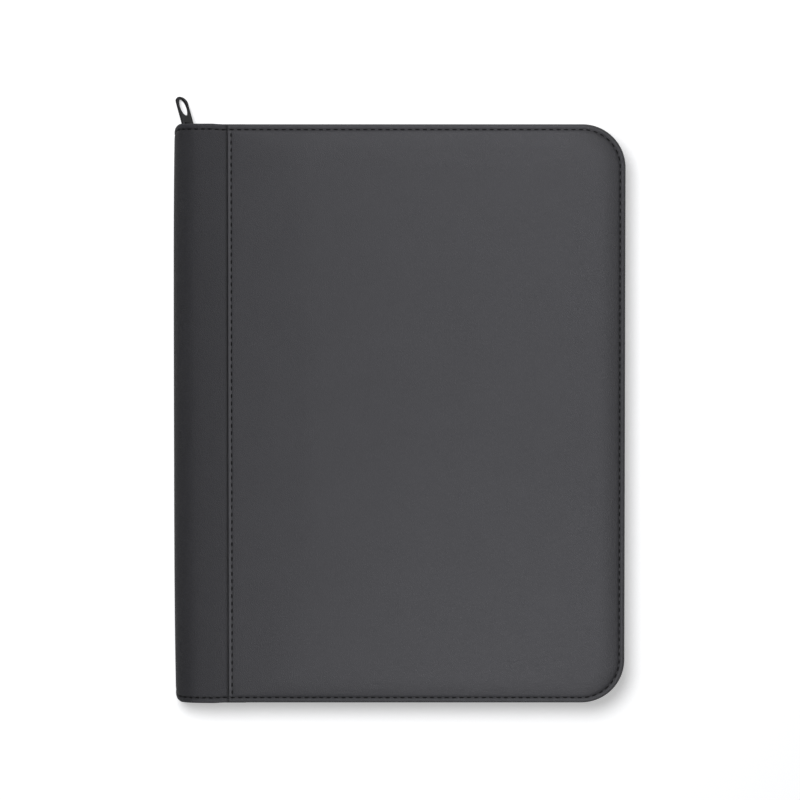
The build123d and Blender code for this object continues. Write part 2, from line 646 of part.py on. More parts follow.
window_x = (WINDOW_X - WINDOW_WIDTH / 2, WINDOW_X + WINDOW_WIDTH / 2)
window_y = (WINDOW_Y - WINDOW_HEIGHT / 2, WINDOW_Y + WINDOW_HEIGHT / 2)
window_pocket = pocket(
    FRONT, CARD_AT, CARD_SLOT, CARD_PANEL, CARD_SEAM, CARD_CORNER, window_x, window_y
)
window_hole = block(
    FRONT, CARD_AT + CARD_SLOT, CARD_PANEL,
    (window_x[0] + WINDOW_BORDER, window_x[1] - WINDOW_BORDER),
    (window_y[0] + WINDOW_BORDER, window_y[1] - WINDOW_BORDER),
)
with BuildPart() as id_window_frame:
    add(window_pocket)
    add(window_hole, mode=Mode.SUBTRACT)
save(id_window_frame.part, "id_window_frame")
film_margin = CARD_SEAM + FIT
id_window_film = block(
    FRONT, CARD_AT + CARD_SLOT - WINDOW_FILM, WINDOW_FILM,
    (window_x[0] + film_margin, window_x[1] - film_margin),
    (window_y[0] + film_margin, window_y[1] - film_margin),
)
save(id_window_film, "id_window_film")
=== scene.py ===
"""Zippered padfolio in charcoal leatherette: covers, spine, zipper, notepad and organiser.

Lengths are written in millimetres, as in the part's source, and become metres when a piece is finished.
"""
from math import copysign, cos, exp, hypot, pi, radians, sin, sqrt, tanh

import bmesh
import bpy
import numpy as np
from mathutils import Matrix, Vector


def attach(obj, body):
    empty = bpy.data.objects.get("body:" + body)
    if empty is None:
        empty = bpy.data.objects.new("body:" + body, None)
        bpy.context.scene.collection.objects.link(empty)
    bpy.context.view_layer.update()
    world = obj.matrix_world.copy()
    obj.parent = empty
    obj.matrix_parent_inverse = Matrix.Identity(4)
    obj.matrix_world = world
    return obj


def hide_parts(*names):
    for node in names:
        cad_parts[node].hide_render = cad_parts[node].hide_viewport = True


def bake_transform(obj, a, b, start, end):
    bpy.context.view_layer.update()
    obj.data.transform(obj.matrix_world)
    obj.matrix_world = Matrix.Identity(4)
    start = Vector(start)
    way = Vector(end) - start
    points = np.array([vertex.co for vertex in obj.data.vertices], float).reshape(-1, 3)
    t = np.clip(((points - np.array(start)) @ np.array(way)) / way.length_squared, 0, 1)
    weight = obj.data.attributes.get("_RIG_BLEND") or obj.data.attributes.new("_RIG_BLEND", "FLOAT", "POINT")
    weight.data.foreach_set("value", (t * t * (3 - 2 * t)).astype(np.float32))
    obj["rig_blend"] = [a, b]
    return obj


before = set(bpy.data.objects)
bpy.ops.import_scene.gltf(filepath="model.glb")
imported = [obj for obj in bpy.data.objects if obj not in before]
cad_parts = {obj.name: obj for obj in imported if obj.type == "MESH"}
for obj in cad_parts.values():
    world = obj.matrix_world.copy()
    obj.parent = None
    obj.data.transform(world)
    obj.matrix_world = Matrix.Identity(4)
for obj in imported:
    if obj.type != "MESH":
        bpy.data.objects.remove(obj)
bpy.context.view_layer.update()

# Case
HALF_WIDTH = 130.0
HALF_HEIGHT = 167.0
DEPTH = 28.0
CORNER = 25.0
SEAM_X = -99.0
STITCH_IN = 3.2
STITCH_PITCH = 4.27
CROWN = 2.8
CROWN_START = 3.3
CROWN_SLOPE = 15.0
SEAM_SLOPE = 45.0
# How far in from the stitches the painted shade of the rolled-down edge reaches
EDGE_SHADE_REACH = 13.0
# Spine
SPINE_X = -106.0
SPINE_REACH = 24.0
SPINE_RISE = 13.0
MID_DEPTH = 14.0
SPINE_CORNER = 4.0
SPINE_TAIL_X = -89.0
SPINE_BOW = 0.9
END_SLACK = 0.4
# Reach of the hem under the slider, which it clears when the case opens
SLIDER_ROOM = 3.05
BAND_SLOPE = 0.07

# Each row of an edge table is how far in from the edge it lies and how far below the face.
TURNED_EDGE = [
    (5.2, 5.0), (3.0, 5.0), (1.0, 5.0), (0.35, 4.85), (0.08, 4.4), (0.0, 3.6), (0.02, 2.8), (0.12, 2.05),
    (0.3, 1.4), (0.55, 0.88), (0.85, 0.5), (1.2, 0.25), (1.6, 0.12), (1.95, 0.12), (2.3, 0.22), (2.65, 0.42),
    (2.95, 0.62), (3.2, 0.7), (3.45, 0.62), (3.8, 0.4), (4.3, 0.18), (5.0, 0.04), (5.8, 0.0),
]
FOLDED_SEAM = [
    (12.0, 0.95), (6.0, 0.95), (1.2, 0.95), (0.35, 0.9), (0.0, 0.6), (0.08, 0.24), (0.3, -0.02),
    (0.65, -0.13), (1.05, -0.11), (1.45, 0.02), (1.85, 0.2), (2.2, 0.28), (2.5, 0.2), (2.9, 0.06),
    (3.5, 0.0), (4.5, 0.0), (6.0, 0.0), (8.5, 0.0),
]
HEMMED_END = [
    (5.2, 1.75), (2.5, 1.75), (0.8, 1.7), (0.2, 1.4), (0.0, 0.95), (0.08, 0.45), (0.35, 0.14),
    (0.9, 0.0), (1.6, 0.0), (2.2, 0.06), (2.8, 0.34), (3.2, 0.48), (3.6, 0.34), (4.1, 0.06),
    (5.0, 0.0), (6.5, 0.0), (9.0, 0.0),
]


def spread(start, end, step):
    """Even places after start, up to end."""
    count = max(1, round(abs(end - start) / step))
    return [start + (end - start) * k / count for k in range(1, count + 1)]


def smooth(t):
    t = min(1.0, max(0.0, t))
    return t * t * (3.0 - 2.0 * t)


def edge_inset(x, y):
    """Distance in from the turned edges at head, fore edge and tail."""
    dx = x - (HALF_WIDTH - CORNER)
    dy = abs(y) - (HALF_HEIGHT - CORNER)
    if dx > 0 and dy > 0:
        return CORNER - hypot(dx, dy)
    return CORNER - max(dx, dy)


def crown(x, y):
    """Rise of the padding: round at the stitched edges, gentle at the seam."""
    inset = edge_inset(x, y) - CROWN_START
    beside = x - SEAM_X - CROWN_START
    if inset <= 0 or beside <= 0:
        return 0.0
    edge = 1.0 - max(0.0, 1.0 - inset / CROWN_SLOPE) ** 2.6
    return CROWN * edge * (1.0 - max(0.0, 1.0 - beside / SEAM_SLOPE) ** 2)


# Finishing a piece

MM = 0.001
# Marks on each vertex: painted shade in grooves, lighter folds that are partly painted highlight, painted
# shade at the edges
MARKS = ("groove_shade", "lightened", "edge_shade")


def grid(columns, rows):
    """A flat grid with this many lines each way, and its vertices by column and row."""
    bm = bmesh.new()
    bm.loops.layers.uv.new("flat")
    for name in MARKS:
        bm.verts.layers.float.new(name)
    bmesh.ops.create_grid(bm, x_segments=columns - 1, y_segments=rows - 1, size=1.0)
    places = {}
    for v in bm.verts:
        i = round((v.co.x + 1.0) / 2.0 * (columns - 1))
        j = round((v.co.y + 1.0) / 2.0 * (rows - 1))
        places[i, j] = v
    return bm, places


def lay_flat(bm, flat):
    """Writes each vertex's place on the flat cloth, in metres, as the piece's UV map."""
    layer = bm.loops.layers.uv["flat"]
    for face in bm.faces:
        for loop in face.loops:
            across, along = flat[loop.vert]
            loop[layer].uv = (across * MM, along * MM)


def flip(bm):
    bmesh.ops.reverse_faces(bm, faces=bm.faces)


def round_edges(bm, edges, offset, segments):
    bmesh.ops.bevel(bm, geom=edges, offset=offset, affect="EDGES", segments=segments, profile=0.5,
                    material=-1)


def to_mesh(name, bm):
    mesh = bpy.data.meshes.new(name)
    bm.to_mesh(mesh)
    bm.free()
    return mesh


def add_object(name, data):
    made = bpy.data.objects.new(name, data)
    bpy.context.scene.collection.objects.link(made)
    return made


def finish_piece(name, bm, material, body=None, replaces=(), shade_smooth=True):
    """Makes a shape, in metres, a piece of the part with its material and body, hiding the CAD nodes it
    replaces.
    """
    bmesh.ops.scale(bm, vec=(MM, MM, MM), verts=bm.verts)
    mesh = to_mesh(name, bm)
    if shade_smooth:
        mesh.shade_smooth()
    mesh.materials.append(material)
    piece = add_object(name, mesh)
    if body:
        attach(piece, body)
    if replaces:
        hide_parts(*replaces)
    return piece


# Material helpers

def feed(tree, made, inputs):
    """Links or sets the inputs of a node."""
    for key, value in inputs.items():
        if hasattr(value, "is_output"):
            tree.links.new(value, made.inputs[key])
        else:
            made.inputs[key].default_value = value


def node(tree, kind, inputs=None, **settings):
    """Adds a shader node with its settings and inputs."""
    made = tree.nodes.new("ShaderNode" + kind)
    for key, value in settings.items():
        setattr(made, key, value)
    feed(tree, made, inputs or {})
    return made


def math_node(tree, operation, *values, clamp=False):
    made = node(tree, "Math", dict(enumerate(values)), operation=operation, use_clamp=clamp)
    return made.outputs[0]


def times(tree, first, second, clamp=False):
    return math_node(tree, "MULTIPLY", first, second, clamp=clamp)


def plus(tree, first, second, clamp=False):
    return math_node(tree, "ADD", first, second, clamp=clamp)


def mix_colour(tree, factor, first, second):
    made = node(tree, "Mix", {0: factor, 6: first, 7: second}, data_type="RGBA")
    return made.outputs[2]


def tint(tree, body, mask, cover, shade):
    """Lays a shade over a colour where a mask says, covering it by this share."""
    return mix_colour(tree, times(tree, mask, cover), body, shade)


def remap(tree, value, low, high, to_low=0.0, to_high=1.0):
    made = node(tree, "MapRange", {"Value": value, "From Min": low, "From Max": high,
                                   "To Min": to_low, "To Max": to_high})
    return made.outputs["Result"]


def noise(tree, spot, scale, detail):
    return node(tree, "TexNoise", {"Vector": spot, "Scale": scale, "Detail": detail}).outputs


def object_spot(tree):
    return node(tree, "TexCoord").outputs["Object"]


def split(tree, vector):
    return node(tree, "SeparateXYZ", {0: vector}).outputs


def flat_spot(tree):
    return split(tree, node(tree, "UVMap", uv_map="flat").outputs["UV"])


def colour(red, green, blue):
    """Linear colour of an everyday 0 to 255 colour."""
    parts = []
    for part in (red, green, blue):
        c = part / 255.0
        parts.append(c / 12.92 if c <= 0.04045 else ((c + 0.055) / 1.055) ** 2.4)
    return (*parts, 1.0)


def shade_of(base, share):
    return tuple(min(1.0, c * share) for c in base[:3]) + (1.0,)


def new_group(name, inputs, outputs):
    group = bpy.data.node_groups.new(name, "ShaderNodeTree")
    for label, default in inputs:
        socket = group.interface.new_socket(label, in_out="INPUT", socket_type="NodeSocketFloat")
        socket.default_value = default
    for label in outputs:
        group.interface.new_socket(label, in_out="OUTPUT", socket_type="NodeSocketFloat")
    return group, group.nodes.new("NodeGroupInput").outputs, group.nodes.new("NodeGroupOutput")


def use_group(tree, group, **values):
    return node(tree, "Group", values, node_tree=group).outputs[:]


def new_material(name):
    material = bpy.data.materials.new(name)
    material.use_nodes = True
    return material, material.node_tree


def finish_surface(material, height, depth, inputs):
    """Sets the inputs of a material's shader, and its relief from a height this deep."""
    tree = material.node_tree
    relief = node(tree, "Bump", {"Height": height, "Distance": depth, "Strength": 1.0})
    feed(tree, tree.nodes["Principled BSDF"], {"Normal": relief.outputs["Normal"], **inputs})
    return material


# Shared effects

def make_grain_group():
    """Fine pebbled leatherette: small cells with creases between them, and slow mottling."""
    group, given, out = new_group("fine_grain", [("Cells", 1100.0), ("Creases", 0.5)],
                                  ["Height", "Crease", "Mottle"])
    spot = object_spot(group)
    drift = noise(group, spot, 420.0, 2.0)["Color"]
    shift = node(group, "VectorMath", {0: drift, 1: (0.0011, 0.0011, 0.0011)}, operation="MULTIPLY")
    moved = node(group, "VectorMath", {0: spot, 1: shift.outputs[0]}, operation="ADD")
    cells = node(group, "TexVoronoi", {"Vector": moved.outputs[0], "Scale": given["Cells"]},
                 feature="DISTANCE_TO_EDGE")
    hill = remap(group, cells.outputs["Distance"], 0.0, 0.28)
    pores = times(group, noise(group, spot, 2600.0, 2.0)["Fac"], 0.35)
    lifted = times(group, hill, given["Creases"])
    feed(group, out, {
        "Height": plus(group, lifted, pores),
        "Crease": math_node(group, "SUBTRACT", 1.0, hill, clamp=True),
        "Mottle": remap(group, noise(group, spot, 38.0, 3.0)["Fac"], 0.3, 0.7),
    })
    return group


def make_weave_group():
    """Plain weave on the flat cloth: threads one pitch apart that go over and under in turn."""
    group, given, out = new_group("plain_weave", [("Pitch", 0.0006)], ["Height", "Gap"])
    spot = flat_spot(group)
    threads = []
    counts = []
    for way in ("X", "Y"):
        count = math_node(group, "DIVIDE", spot[way], given["Pitch"])
        turn = math_node(group, "SINE", times(group, count, pi))
        threads.append(math_node(group, "ABSOLUTE", turn))
        counts.append(math_node(group, "FLOOR", count))
    pair = plus(group, counts[0], counts[1])
    over = math_node(group, "PINGPONG", pair, 1.0)
    under = math_node(group, "SUBTRACT", 1.0, over)
    warp = math_node(group, "MAXIMUM", threads[0], times(group, threads[1], 0.55))
    weft = math_node(group, "MAXIMUM", threads[1], times(group, threads[0], 0.55))
    height = plus(group, times(group, warp, over), times(group, weft, under))
    feed(group, out, {"Height": height, "Gap": remap(group, height, 0.25, 0.85, 1.0, 0.0)})
    return group


def make_specks_group():
    """Fine and slow unevenness on Object coordinates, for hard pieces."""
    group, given, out = new_group("specks", [("Fine", 2200.0), ("Slow", 60.0)], ["Fine", "Slow"])
    spot = object_spot(group)
    for label in ("Fine", "Slow"):
        spots = noise(group, spot, given[label], 3.0)["Fac"]
        feed(group, out, {label: remap(group, spots, 0.3, 0.7)})
    return group


GRAIN = make_grain_group()
WEAVE = make_weave_group()
SPECKS = make_specks_group()


# Materials

def make_leather(name, base, cells, depth, roughness):
    """Matte leatherette. Attributes mark painted shade in stitched grooves and the seam's crevice, lighter
    folds that are partly wear and partly painted highlight, and painted shade at the edges.
    """
    material, tree = new_material(name)
    height, crease, mottle = use_group(tree, GRAIN, Cells=cells, Creases=0.6)
    groove_shade, lightened, edge_shade = [node(tree, "Attribute", attribute_name=mark).outputs["Fac"]
                                  for mark in MARKS]
    body = base
    # Grain and mottling, then the partly painted highlight of folds, the painted edge shade and the painted
    # groove shade
    for mask, cover, shade in ((crease, 0.55, 0.80), (mottle, 0.16, 1.22), (lightened, 0.55, 1.22),
                               (edge_shade, 0.8, 0.25), (groove_shade, 0.8, 0.35)):
        body = tint(tree, body, mask, cover, shade_of(base, shade))
    matte = remap(tree, crease, 0.0, 1.0, roughness, roughness + 0.14)
    polished = times(tree, lightened, -0.08)
    return finish_surface(material, height, depth, {
        "Base Color": body, "Roughness": plus(tree, matte, polished), "Specular IOR Level": 0.4,
    })


def make_cloth(name, base, pitch, depth, roughness):
    """Woven cloth with darker gaps between its threads."""
    material, tree = new_material(name)
    height, gap = use_group(tree, WEAVE, Pitch=pitch)
    fine, slow = use_group(tree, SPECKS, Fine=1500.0, Slow=45.0)
    body = tint(tree, base, gap, 0.8, shade_of(base, 0.45))
    return finish_surface(material, plus(tree, height, times(tree, fine, 0.3)), depth, {
        "Base Color": tint(tree, body, slow, 0.2, shade_of(base, 1.3)),
        "Roughness": remap(tree, gap, 0.0, 1.0, roughness, 0.95),
        "Sheen Weight": 0.12, "Specular IOR Level": 0.3,
    })


def make_hard(name, base, roughness, worn=None, gloss=0.5):
    """Moulded plastic or painted metal, uneven in gloss. A worn colour shows on its rubbed edges."""
    material, tree = new_material(name)
    fine, slow = use_group(tree, SPECKS)
    body = tint(tree, base, slow, 0.35, shade_of(base, 1.35))
    if worn:
        edge = node(tree, "NewGeometry").outputs["Pointiness"]
        lightened = times(tree, remap(tree, edge, 0.53, 0.62), slow, clamp=True)
        body = mix_colour(tree, lightened, body, worn)
    return finish_surface(material, fine, 0.00003, {
        "Base Color": body, "Roughness": remap(tree, slow, 0.0, 1.0, roughness, roughness + 0.12),
        "Specular IOR Level": gloss,
    })


def make_thread(name, base):
    """Sewing thread, drawn by fine specks."""
    material, tree = new_material(name)
    fine, slow = use_group(tree, SPECKS, Fine=5200.0, Slow=240.0)
    body = mix_colour(tree, fine, shade_of(base, 0.7), shade_of(base, 1.3))
    return finish_surface(material, fine, 0.00008, {
        "Base Color": tint(tree, body, slow, 0.3, shade_of(base, 1.25)),
        "Roughness": remap(tree, fine, 0.0, 1.0, 0.65, 0.85), "Specular IOR Level": 0.2,
    })


def make_elastic(name, base, rib_pitch):
    """Flat elastic with ribs along it."""
    material, tree = new_material(name)
    height, gap = use_group(tree, WEAVE, Pitch=rib_pitch / 3.0)
    turn = math_node(tree, "SINE", times(tree, flat_spot(tree)["Y"], 2.0 * pi / rib_pitch))
    rib = remap(tree, turn, -1.0, 1.0)
    body = mix_colour(tree, rib, shade_of(base, 0.55), shade_of(base, 1.25))
    return finish_surface(material, plus(tree, rib, times(tree, height, 0.4)), 0.0003, {
        "Base Color": tint(tree, body, gap, 0.5, shade_of(base, 0.4)),
        "Roughness": remap(tree, rib, 0.0, 1.0, 0.9, 0.7), "Sheen Weight": 0.15,
    })


def make_paper(name, base, rule_pitch, first_rule_y, margin_x):
    """Ruled writing paper: faint rules and a margin on the top face, page lines on the edges."""
    material, tree = new_material(name)
    fine, slow = use_group(tree, SPECKS, Fine=1800.0, Slow=20.0)
    place = node(tree, "TexCoord").outputs
    spot = split(tree, place["Object"])
    top = remap(tree, split(tree, place["Normal"])["Z"], 0.8, 0.95)
    step = math_node(tree, "PINGPONG", plus(tree, spot["Y"], 0.4), rule_pitch / 2.0)
    rule = remap(tree, step, 0.0001, 0.00022, 1.0, 0.0)
    below = remap(tree, spot["Y"], first_rule_y - 0.0002, first_rule_y, 1.0, 0.0)
    rule = times(tree, times(tree, rule, below), top)
    side = math_node(tree, "ABSOLUTE", math_node(tree, "SUBTRACT", spot["X"], margin_x))
    margin = times(tree, remap(tree, side, 0.00018, 0.0003, 1.0, 0.0), top)
    stretched = node(tree, "Mapping", {"Vector": place["Object"], "Scale": (14.0, 14.0, 9000.0)})
    leaves = noise(tree, stretched.outputs[0], 1.0, 2.0)["Fac"]
    edge = math_node(tree, "SUBTRACT", 1.0, top, clamp=True)
    leaf = times(tree, remap(tree, leaves, 0.35, 0.65, 0.0, 0.5), edge)
    body = tint(tree, base, slow, 0.4, colour(246, 245, 240))
    body = mix_colour(tree, leaf, body, colour(176, 174, 166))
    body = tint(tree, body, rule, 0.75, colour(150, 168, 196))
    body = tint(tree, body, margin, 0.7, colour(206, 142, 142))
    return finish_surface(material, plus(tree, times(tree, fine, 0.3), leaf), 0.00006, {
        "Base Color": body, "Roughness": remap(tree, fine, 0.0, 1.0, 0.82, 0.92), "Specular IOR Level": 0.25,
    })


def make_fibre(name, base, depth):
    """Pulp board and binding tape: short fibres and flecks."""
    material, tree = new_material(name)
    fine, slow = use_group(tree, SPECKS, Fine=1100.0, Slow=160.0)
    body = mix_colour(tree, fine, shade_of(base, 0.82), shade_of(base, 1.12))
    return finish_surface(material, fine, depth, {
        "Base Color": tint(tree, body, slow, 0.35, shade_of(base, 0.75)),
        "Roughness": remap(tree, slow, 0.0, 1.0, 0.8, 0.95),
    })


def make_film(name):
    """Clear vinyl window, slightly wavy and scuffed."""
    material, tree = new_material(name)
    fine, slow = use_group(tree, SPECKS, Fine=500.0, Slow=70.0)
    return finish_surface(material, slow, 0.0002, {
        "Base Color": (0.95, 0.97, 0.98, 1.0), "Transmission Weight": 0.92, "IOR": 1.3,
        "Roughness": remap(tree, fine, 0.2, 1.0, 0.05, 0.22),
    })


CHARCOAL = make_leather("charcoal_leather", colour(61, 61, 65), 1150.0, 0.00017, 0.56)
# Darker copy of the cover leather: painted shade of the spine band, which slopes away from the light
SHADED_SPINE_LEATHER = make_leather("spine_leather_painted_shade", colour(52, 52, 56), 1150.0, 0.00017, 0.56)
POCKET_LEATHER = make_leather("pocket_leather", colour(59, 59, 63), 1500.0, 0.00008, 0.55)
LINING_CLOTH = make_cloth("lining_cloth", colour(56, 57, 62), 0.00055, 0.00012, 0.7)
TAPE_CLOTH = make_cloth("zipper_tape_cloth", colour(30, 30, 33), 0.0007, 0.0002, 0.75)
THREAD = make_thread("black_thread", colour(13, 13, 14))
TEETH_PLASTIC = make_hard("moulded_teeth", colour(26, 26, 28), 0.38)
BLACK_ENAMEL = make_hard("black_enamel", colour(16, 16, 17), 0.4, worn=colour(60, 60, 63))
PULL_ENAMEL = make_hard("pull_enamel", colour(7, 7, 8), 0.5, worn=colour(26, 26, 28), gloss=0.3)
ELASTIC = make_elastic("ribbed_elastic", colour(34, 34, 37), 0.0021)
PAPER = make_paper("ruled_paper", colour(240, 239, 232), 0.0071, 0.087, -0.066)
GREYBOARD = make_fibre("greyboard", colour(128, 124, 116), 0.0001)
PAD_BOARD = make_fibre("pad_backing_board", colour(146, 132, 112), 0.0001)
PAD_TAPE = make_fibre("pad_binding_tape", colour(38, 40, 46), 0.0002)
FILM = make_film("clear_vinyl")


# Swelling of the padded cover, as cloth over foam

CLOTH_COLUMNS = 58
CLOTH_ROWS = 84
CLOTH_FRAMES = 20
CLOTH_SETTINGS = {
    "vertex_group_mass": "stitched", "use_pressure": True, "uniform_pressure_force": 4.0,
    "tension_stiffness": 40.0, "compression_stiffness": 40.0, "shear_stiffness": 20.0,
    "bending_stiffness": 2.0, "quality": 6,
}
HELD_INSET = CROWN_START + 1.5
SWELL_CAP = 0.3


def swollen_padding():
    """Rise of the front leather when its foam pushes it up between the stitches, on a regular grid."""
    xs = np.linspace(SEAM_X, HALF_WIDTH, CLOTH_COLUMNS)
    ys = np.linspace(-HALF_HEIGHT, HALF_HEIGHT, CLOTH_ROWS)
    lift = np.zeros((CLOTH_COLUMNS, CLOTH_ROWS))
    bm, places = grid(CLOTH_COLUMNS, CLOTH_ROWS)
    bm.verts.index_update()
    order = {key: v.index for key, v in places.items()}
    held = []
    for (i, j), v in places.items():
        v.co = (xs[i] * MM, ys[j] * MM, crown(xs[i], ys[j]) * MM)
        if min(edge_inset(xs[i], ys[j]), xs[i] - SEAM_X) < HELD_INSET:
            held.append(v.index)
    mesh = to_mesh("padding_cloth", bm)
    cloth_piece = add_object("padding_cloth", mesh)
    cloth_piece.vertex_groups.new(name="stitched").add(held, 1.0, "REPLACE")
    cloth = cloth_piece.modifiers.new("swell", "CLOTH")
    for key, value in CLOTH_SETTINGS.items():
        setattr(cloth.settings, key, value)
    cloth.settings.effector_weights.gravity = 0.0
    cloth.point_cache.frame_start = 1
    cloth.point_cache.frame_end = CLOTH_FRAMES
    scene = bpy.context.scene
    for step in range(1, CLOTH_FRAMES + 1):
        scene.frame_set(step)
    shaped = cloth_piece.evaluated_get(bpy.context.evaluated_depsgraph_get()).data
    for key, index in order.items():
        lift[key] = (shaped.vertices[index].co.z - mesh.vertices[index].co.z) / MM
    scene.frame_set(1)
    bpy.data.objects.remove(cloth_piece)
    bpy.data.meshes.remove(mesh)
    return xs, ys, lift


SWELL_X, SWELL_Y, SWELL = swollen_padding()


def swell(x, y):
    """Rise of the padding at a place, softly capped by the foam's own thickness."""
    u = np.interp(x, SWELL_X, np.arange(CLOTH_COLUMNS))
    v = np.interp(y, SWELL_Y, np.arange(CLOTH_ROWS))
    i, j = min(int(u), CLOTH_COLUMNS - 2), min(int(v), CLOTH_ROWS - 2)
    s, t = u - i, v - j
    lift = np.array((1.0 - s, s)) @ SWELL[i:i + 2, j:j + 2] @ np.array((1.0 - t, t))
    return SWELL_CAP * tanh(float(lift) / SWELL_CAP)


# Sheets with turned edges

# Flaps folded under lie this far inside the turned edges that they meet
NEST = 0.6
NEST_REACH = 5.0
# Folded edges less deep than this end in a thin flap
FLAP_DEPTH = 1.5
# Rows less far down than this belong to the face
FACE_DROP = 0.7
GROOVE_WIDTH = 0.5
FAR = 99.0


def tucked(table):
    """Which rows of an edge table lie in a thin flap folded under the face."""
    fold = min(range(len(table)), key=lambda k: table[k][0])
    return [k < fold and table[0][1] < FLAP_DEPTH for k in range(len(table))]


def run_to(table, radius):
    """An edge table carried on flat to the centre of a corner."""
    reach = table[-1][0]
    return table + [(inset, 0.0) for inset in spread(reach, radius, max(1.2, (radius - reach) / 9.0))]


def dent(inset, groove, width=GROOVE_WIDTH):
    return exp(-((inset - groove) / width) ** 2)


def turned_sheet(plan, edge, radius, step, spine=None, head=None, rise=None, grooves=(STITCH_IN,),
                 seam_groove=None, paint_edge_shade=None):
    """A flat sheet with one edge table all round, or others at spine and head. Equal ones meet in a round."""
    spine_x, fore_x, tail_y, head_y = plan
    sides = {"spine": spine or edge, "fore": edge, "head": head or edge, "tail": edge}
    sides = {name: run_to(table, radius) for name, table in sides.items()}

    def lines(low_side, low_at, high_side, high_at):
        """Grid lines one way: place, drop, side, distance in and whether in a flap."""
        low, high = [[(at + way * inset, drop, side, inset, under)
                      for (inset, drop), under in zip(sides[side], tucked(sides[side]))]
                     for side, at, way in ((low_side, low_at, 1), (high_side, high_at, -1))]
        between = spread(low[-1][0], high[-1][0], step)[:-1]
        return low + [(at, 0.0, None, FAR, False) for at in between] + high[::-1]

    columns = lines("spine", spine_x, "fore", fore_x)
    rows = lines("tail", tail_y, "head", head_y)
    bm, places = grid(len(columns), len(rows))
    groove_shade, lightened, edge_shade = [bm.verts.layers.float[name] for name in MARKS]
    flat = {}
    for (i, j), v in places.items():
        x, drop_x, side_x, inset_x, under_x = columns[i]
        y, drop_y, side_y, inset_y, under_y = rows[j]
        way_x = 1 if side_x == "fore" else -1
        way_y = 1 if side_y == "head" else -1
        flat[v] = (x, y)
        drop = max(drop_x, drop_y)
        inset = min(inset_x, inset_y)
        seam = inset_x if side_x == "spine" and seam_groove else FAR
        if side_x and side_y and sides[side_x] == sides[side_y]:
            last = len(sides[side_x]) - 1
            a = i - (len(columns) - 1 - last) if side_x == "fore" else last - i
            b = j - (len(rows) - 1 - last) if side_y == "head" else last - j
            shell = max(a, b)
            turn = 0.0 if shell == 0 else 0.5 * b / a if a >= b else 1.0 - 0.5 * a / b
            inset, drop = sides[side_x][last - shell]
            reach = radius - inset
            x = fore_x - radius if side_x == "fore" else spine_x + radius
            y = head_y - radius if side_y == "head" else tail_y + radius
            x += way_x * reach * cos(turn * pi / 2)
            y += way_y * reach * sin(turn * pi / 2)
        elif seam_groove:
            inset = inset_y if side_x == "spine" else inset
        if under_x and side_y and not under_y:
            y -= way_y * NEST * (1.0 - smooth(inset_y / NEST_REACH))
            drop = max(drop_x, min(drop, sides[side_y][0][1] - NEST))
        if under_y and side_x and not under_x:
            x -= way_x * NEST * (1.0 - smooth(inset_x / NEST_REACH))
            drop = max(drop_y, min(drop, sides[side_x][0][1] - NEST))
        face = drop < FACE_DROP
        v.co = (x, y, (rise(x, y) if rise and face else 0.0) - drop)
        if face:
            # Painted shade in the stitch grooves and, fainter, in the seam's groove
            dents = [dent(inset, groove) for groove in grooves]
            if seam_groove:
                dents.append(0.35 * dent(seam, seam_groove, 0.3))
            v[groove_shade] = max(dents, default=0.0)
        # Lighter colour on the seam's folded ridge: partly wear, partly painted highlight of the lit fold
        v[lightened] = 0.9 if drop < 0.3 and 0.2 < seam < 1.6 else 0.0
        # Painted shade at the very edge and where the leather rolls down
        if paint_edge_shade:
            v[edge_shade] = paint_edge_shade(x, y, inset)
    lay_flat(bm, flat)
    return bm


def set_on(bm, level, turned):
    """Lifts a sheet to its level, or turns it over and sets it as far below the top of the case."""
    if turned:
        bmesh.ops.scale(bm, vec=(1.0, 1.0, -1.0), verts=bm.verts)
        flip(bm)
    bmesh.ops.translate(bm, vec=(0.0, 0.0, DEPTH - level if turned else level), verts=bm.verts)
    return bm


# Cover leather

COVER_PLAN = (SEAM_X, HALF_WIDTH, -HALF_HEIGHT, HALF_HEIGHT)
SEAM_STITCH_IN = 2.2
# Place, reach along and across, and height of each small fold
PUCKERS = [
    (-91.5, -161.5, 4.5, 1.6, 0.35), (-90.5, 160.5, 5.0, 2.0, 0.35), (-80.0, 160.0, 6.0, 2.2, 0.2),
    (119.5, 150.0, 2.0, 3.5, 0.15), (117.0, -153.0, 2.5, 2.5, 0.18),
]


def pucker(x, y):
    """Small folds pulled up by the thread where the seam meets head and tail."""
    rise = 0.0
    for at_x, at_y, long, short, high in PUCKERS:
        rise += high * exp(-((x - at_x) / long) ** 2 - ((y - at_y) / short) ** 2)
    return rise


def cover_rise(x, y):
    padding = crown(x, y)
    return padding + swell(x, y) + pucker(x, y) if padding > 0 else 0.0


def paint_edge_shade(x, y, inset):
    """Painted shade on the leather at its very edge, where it turns down out of the light, and where it rolls
    down at fore edge and tail.
    """
    fore = smooth((x - HALF_WIDTH + 1.4 * CORNER) / CORNER)
    tail = smooth((-y - HALF_HEIGHT + 1.4 * CORNER) / CORNER)
    if inset < STITCH_IN:
        contour = 1.25 * (1.0 - smooth((inset - 0.45) / 1.3))
        return max(0.2, fore, 0.8 * tail) * max(contour, 0.3)
    roll = max(0.0, 1.0 - (inset - STITCH_IN) / EDGE_SHADE_REACH) ** 1.3
    return 0.77 * roll * max(fore, 0.4 * tail)


def cover_leather(side, turned, rise):
    """Leather of one cover: turned over the board at its open edges, folded under at the seam."""
    bm = turned_sheet(COVER_PLAN, TURNED_EDGE, CORNER, 3.2, spine=FOLDED_SEAM, rise=rise,
                      seam_groove=SEAM_STITCH_IN, paint_edge_shade=paint_edge_shade)
    return finish_piece(side + "_leather", set_on(bm, DEPTH, turned), CHARCOAL, side + "_cover",
                        (side + "_cover_panel", side + "_foam"))


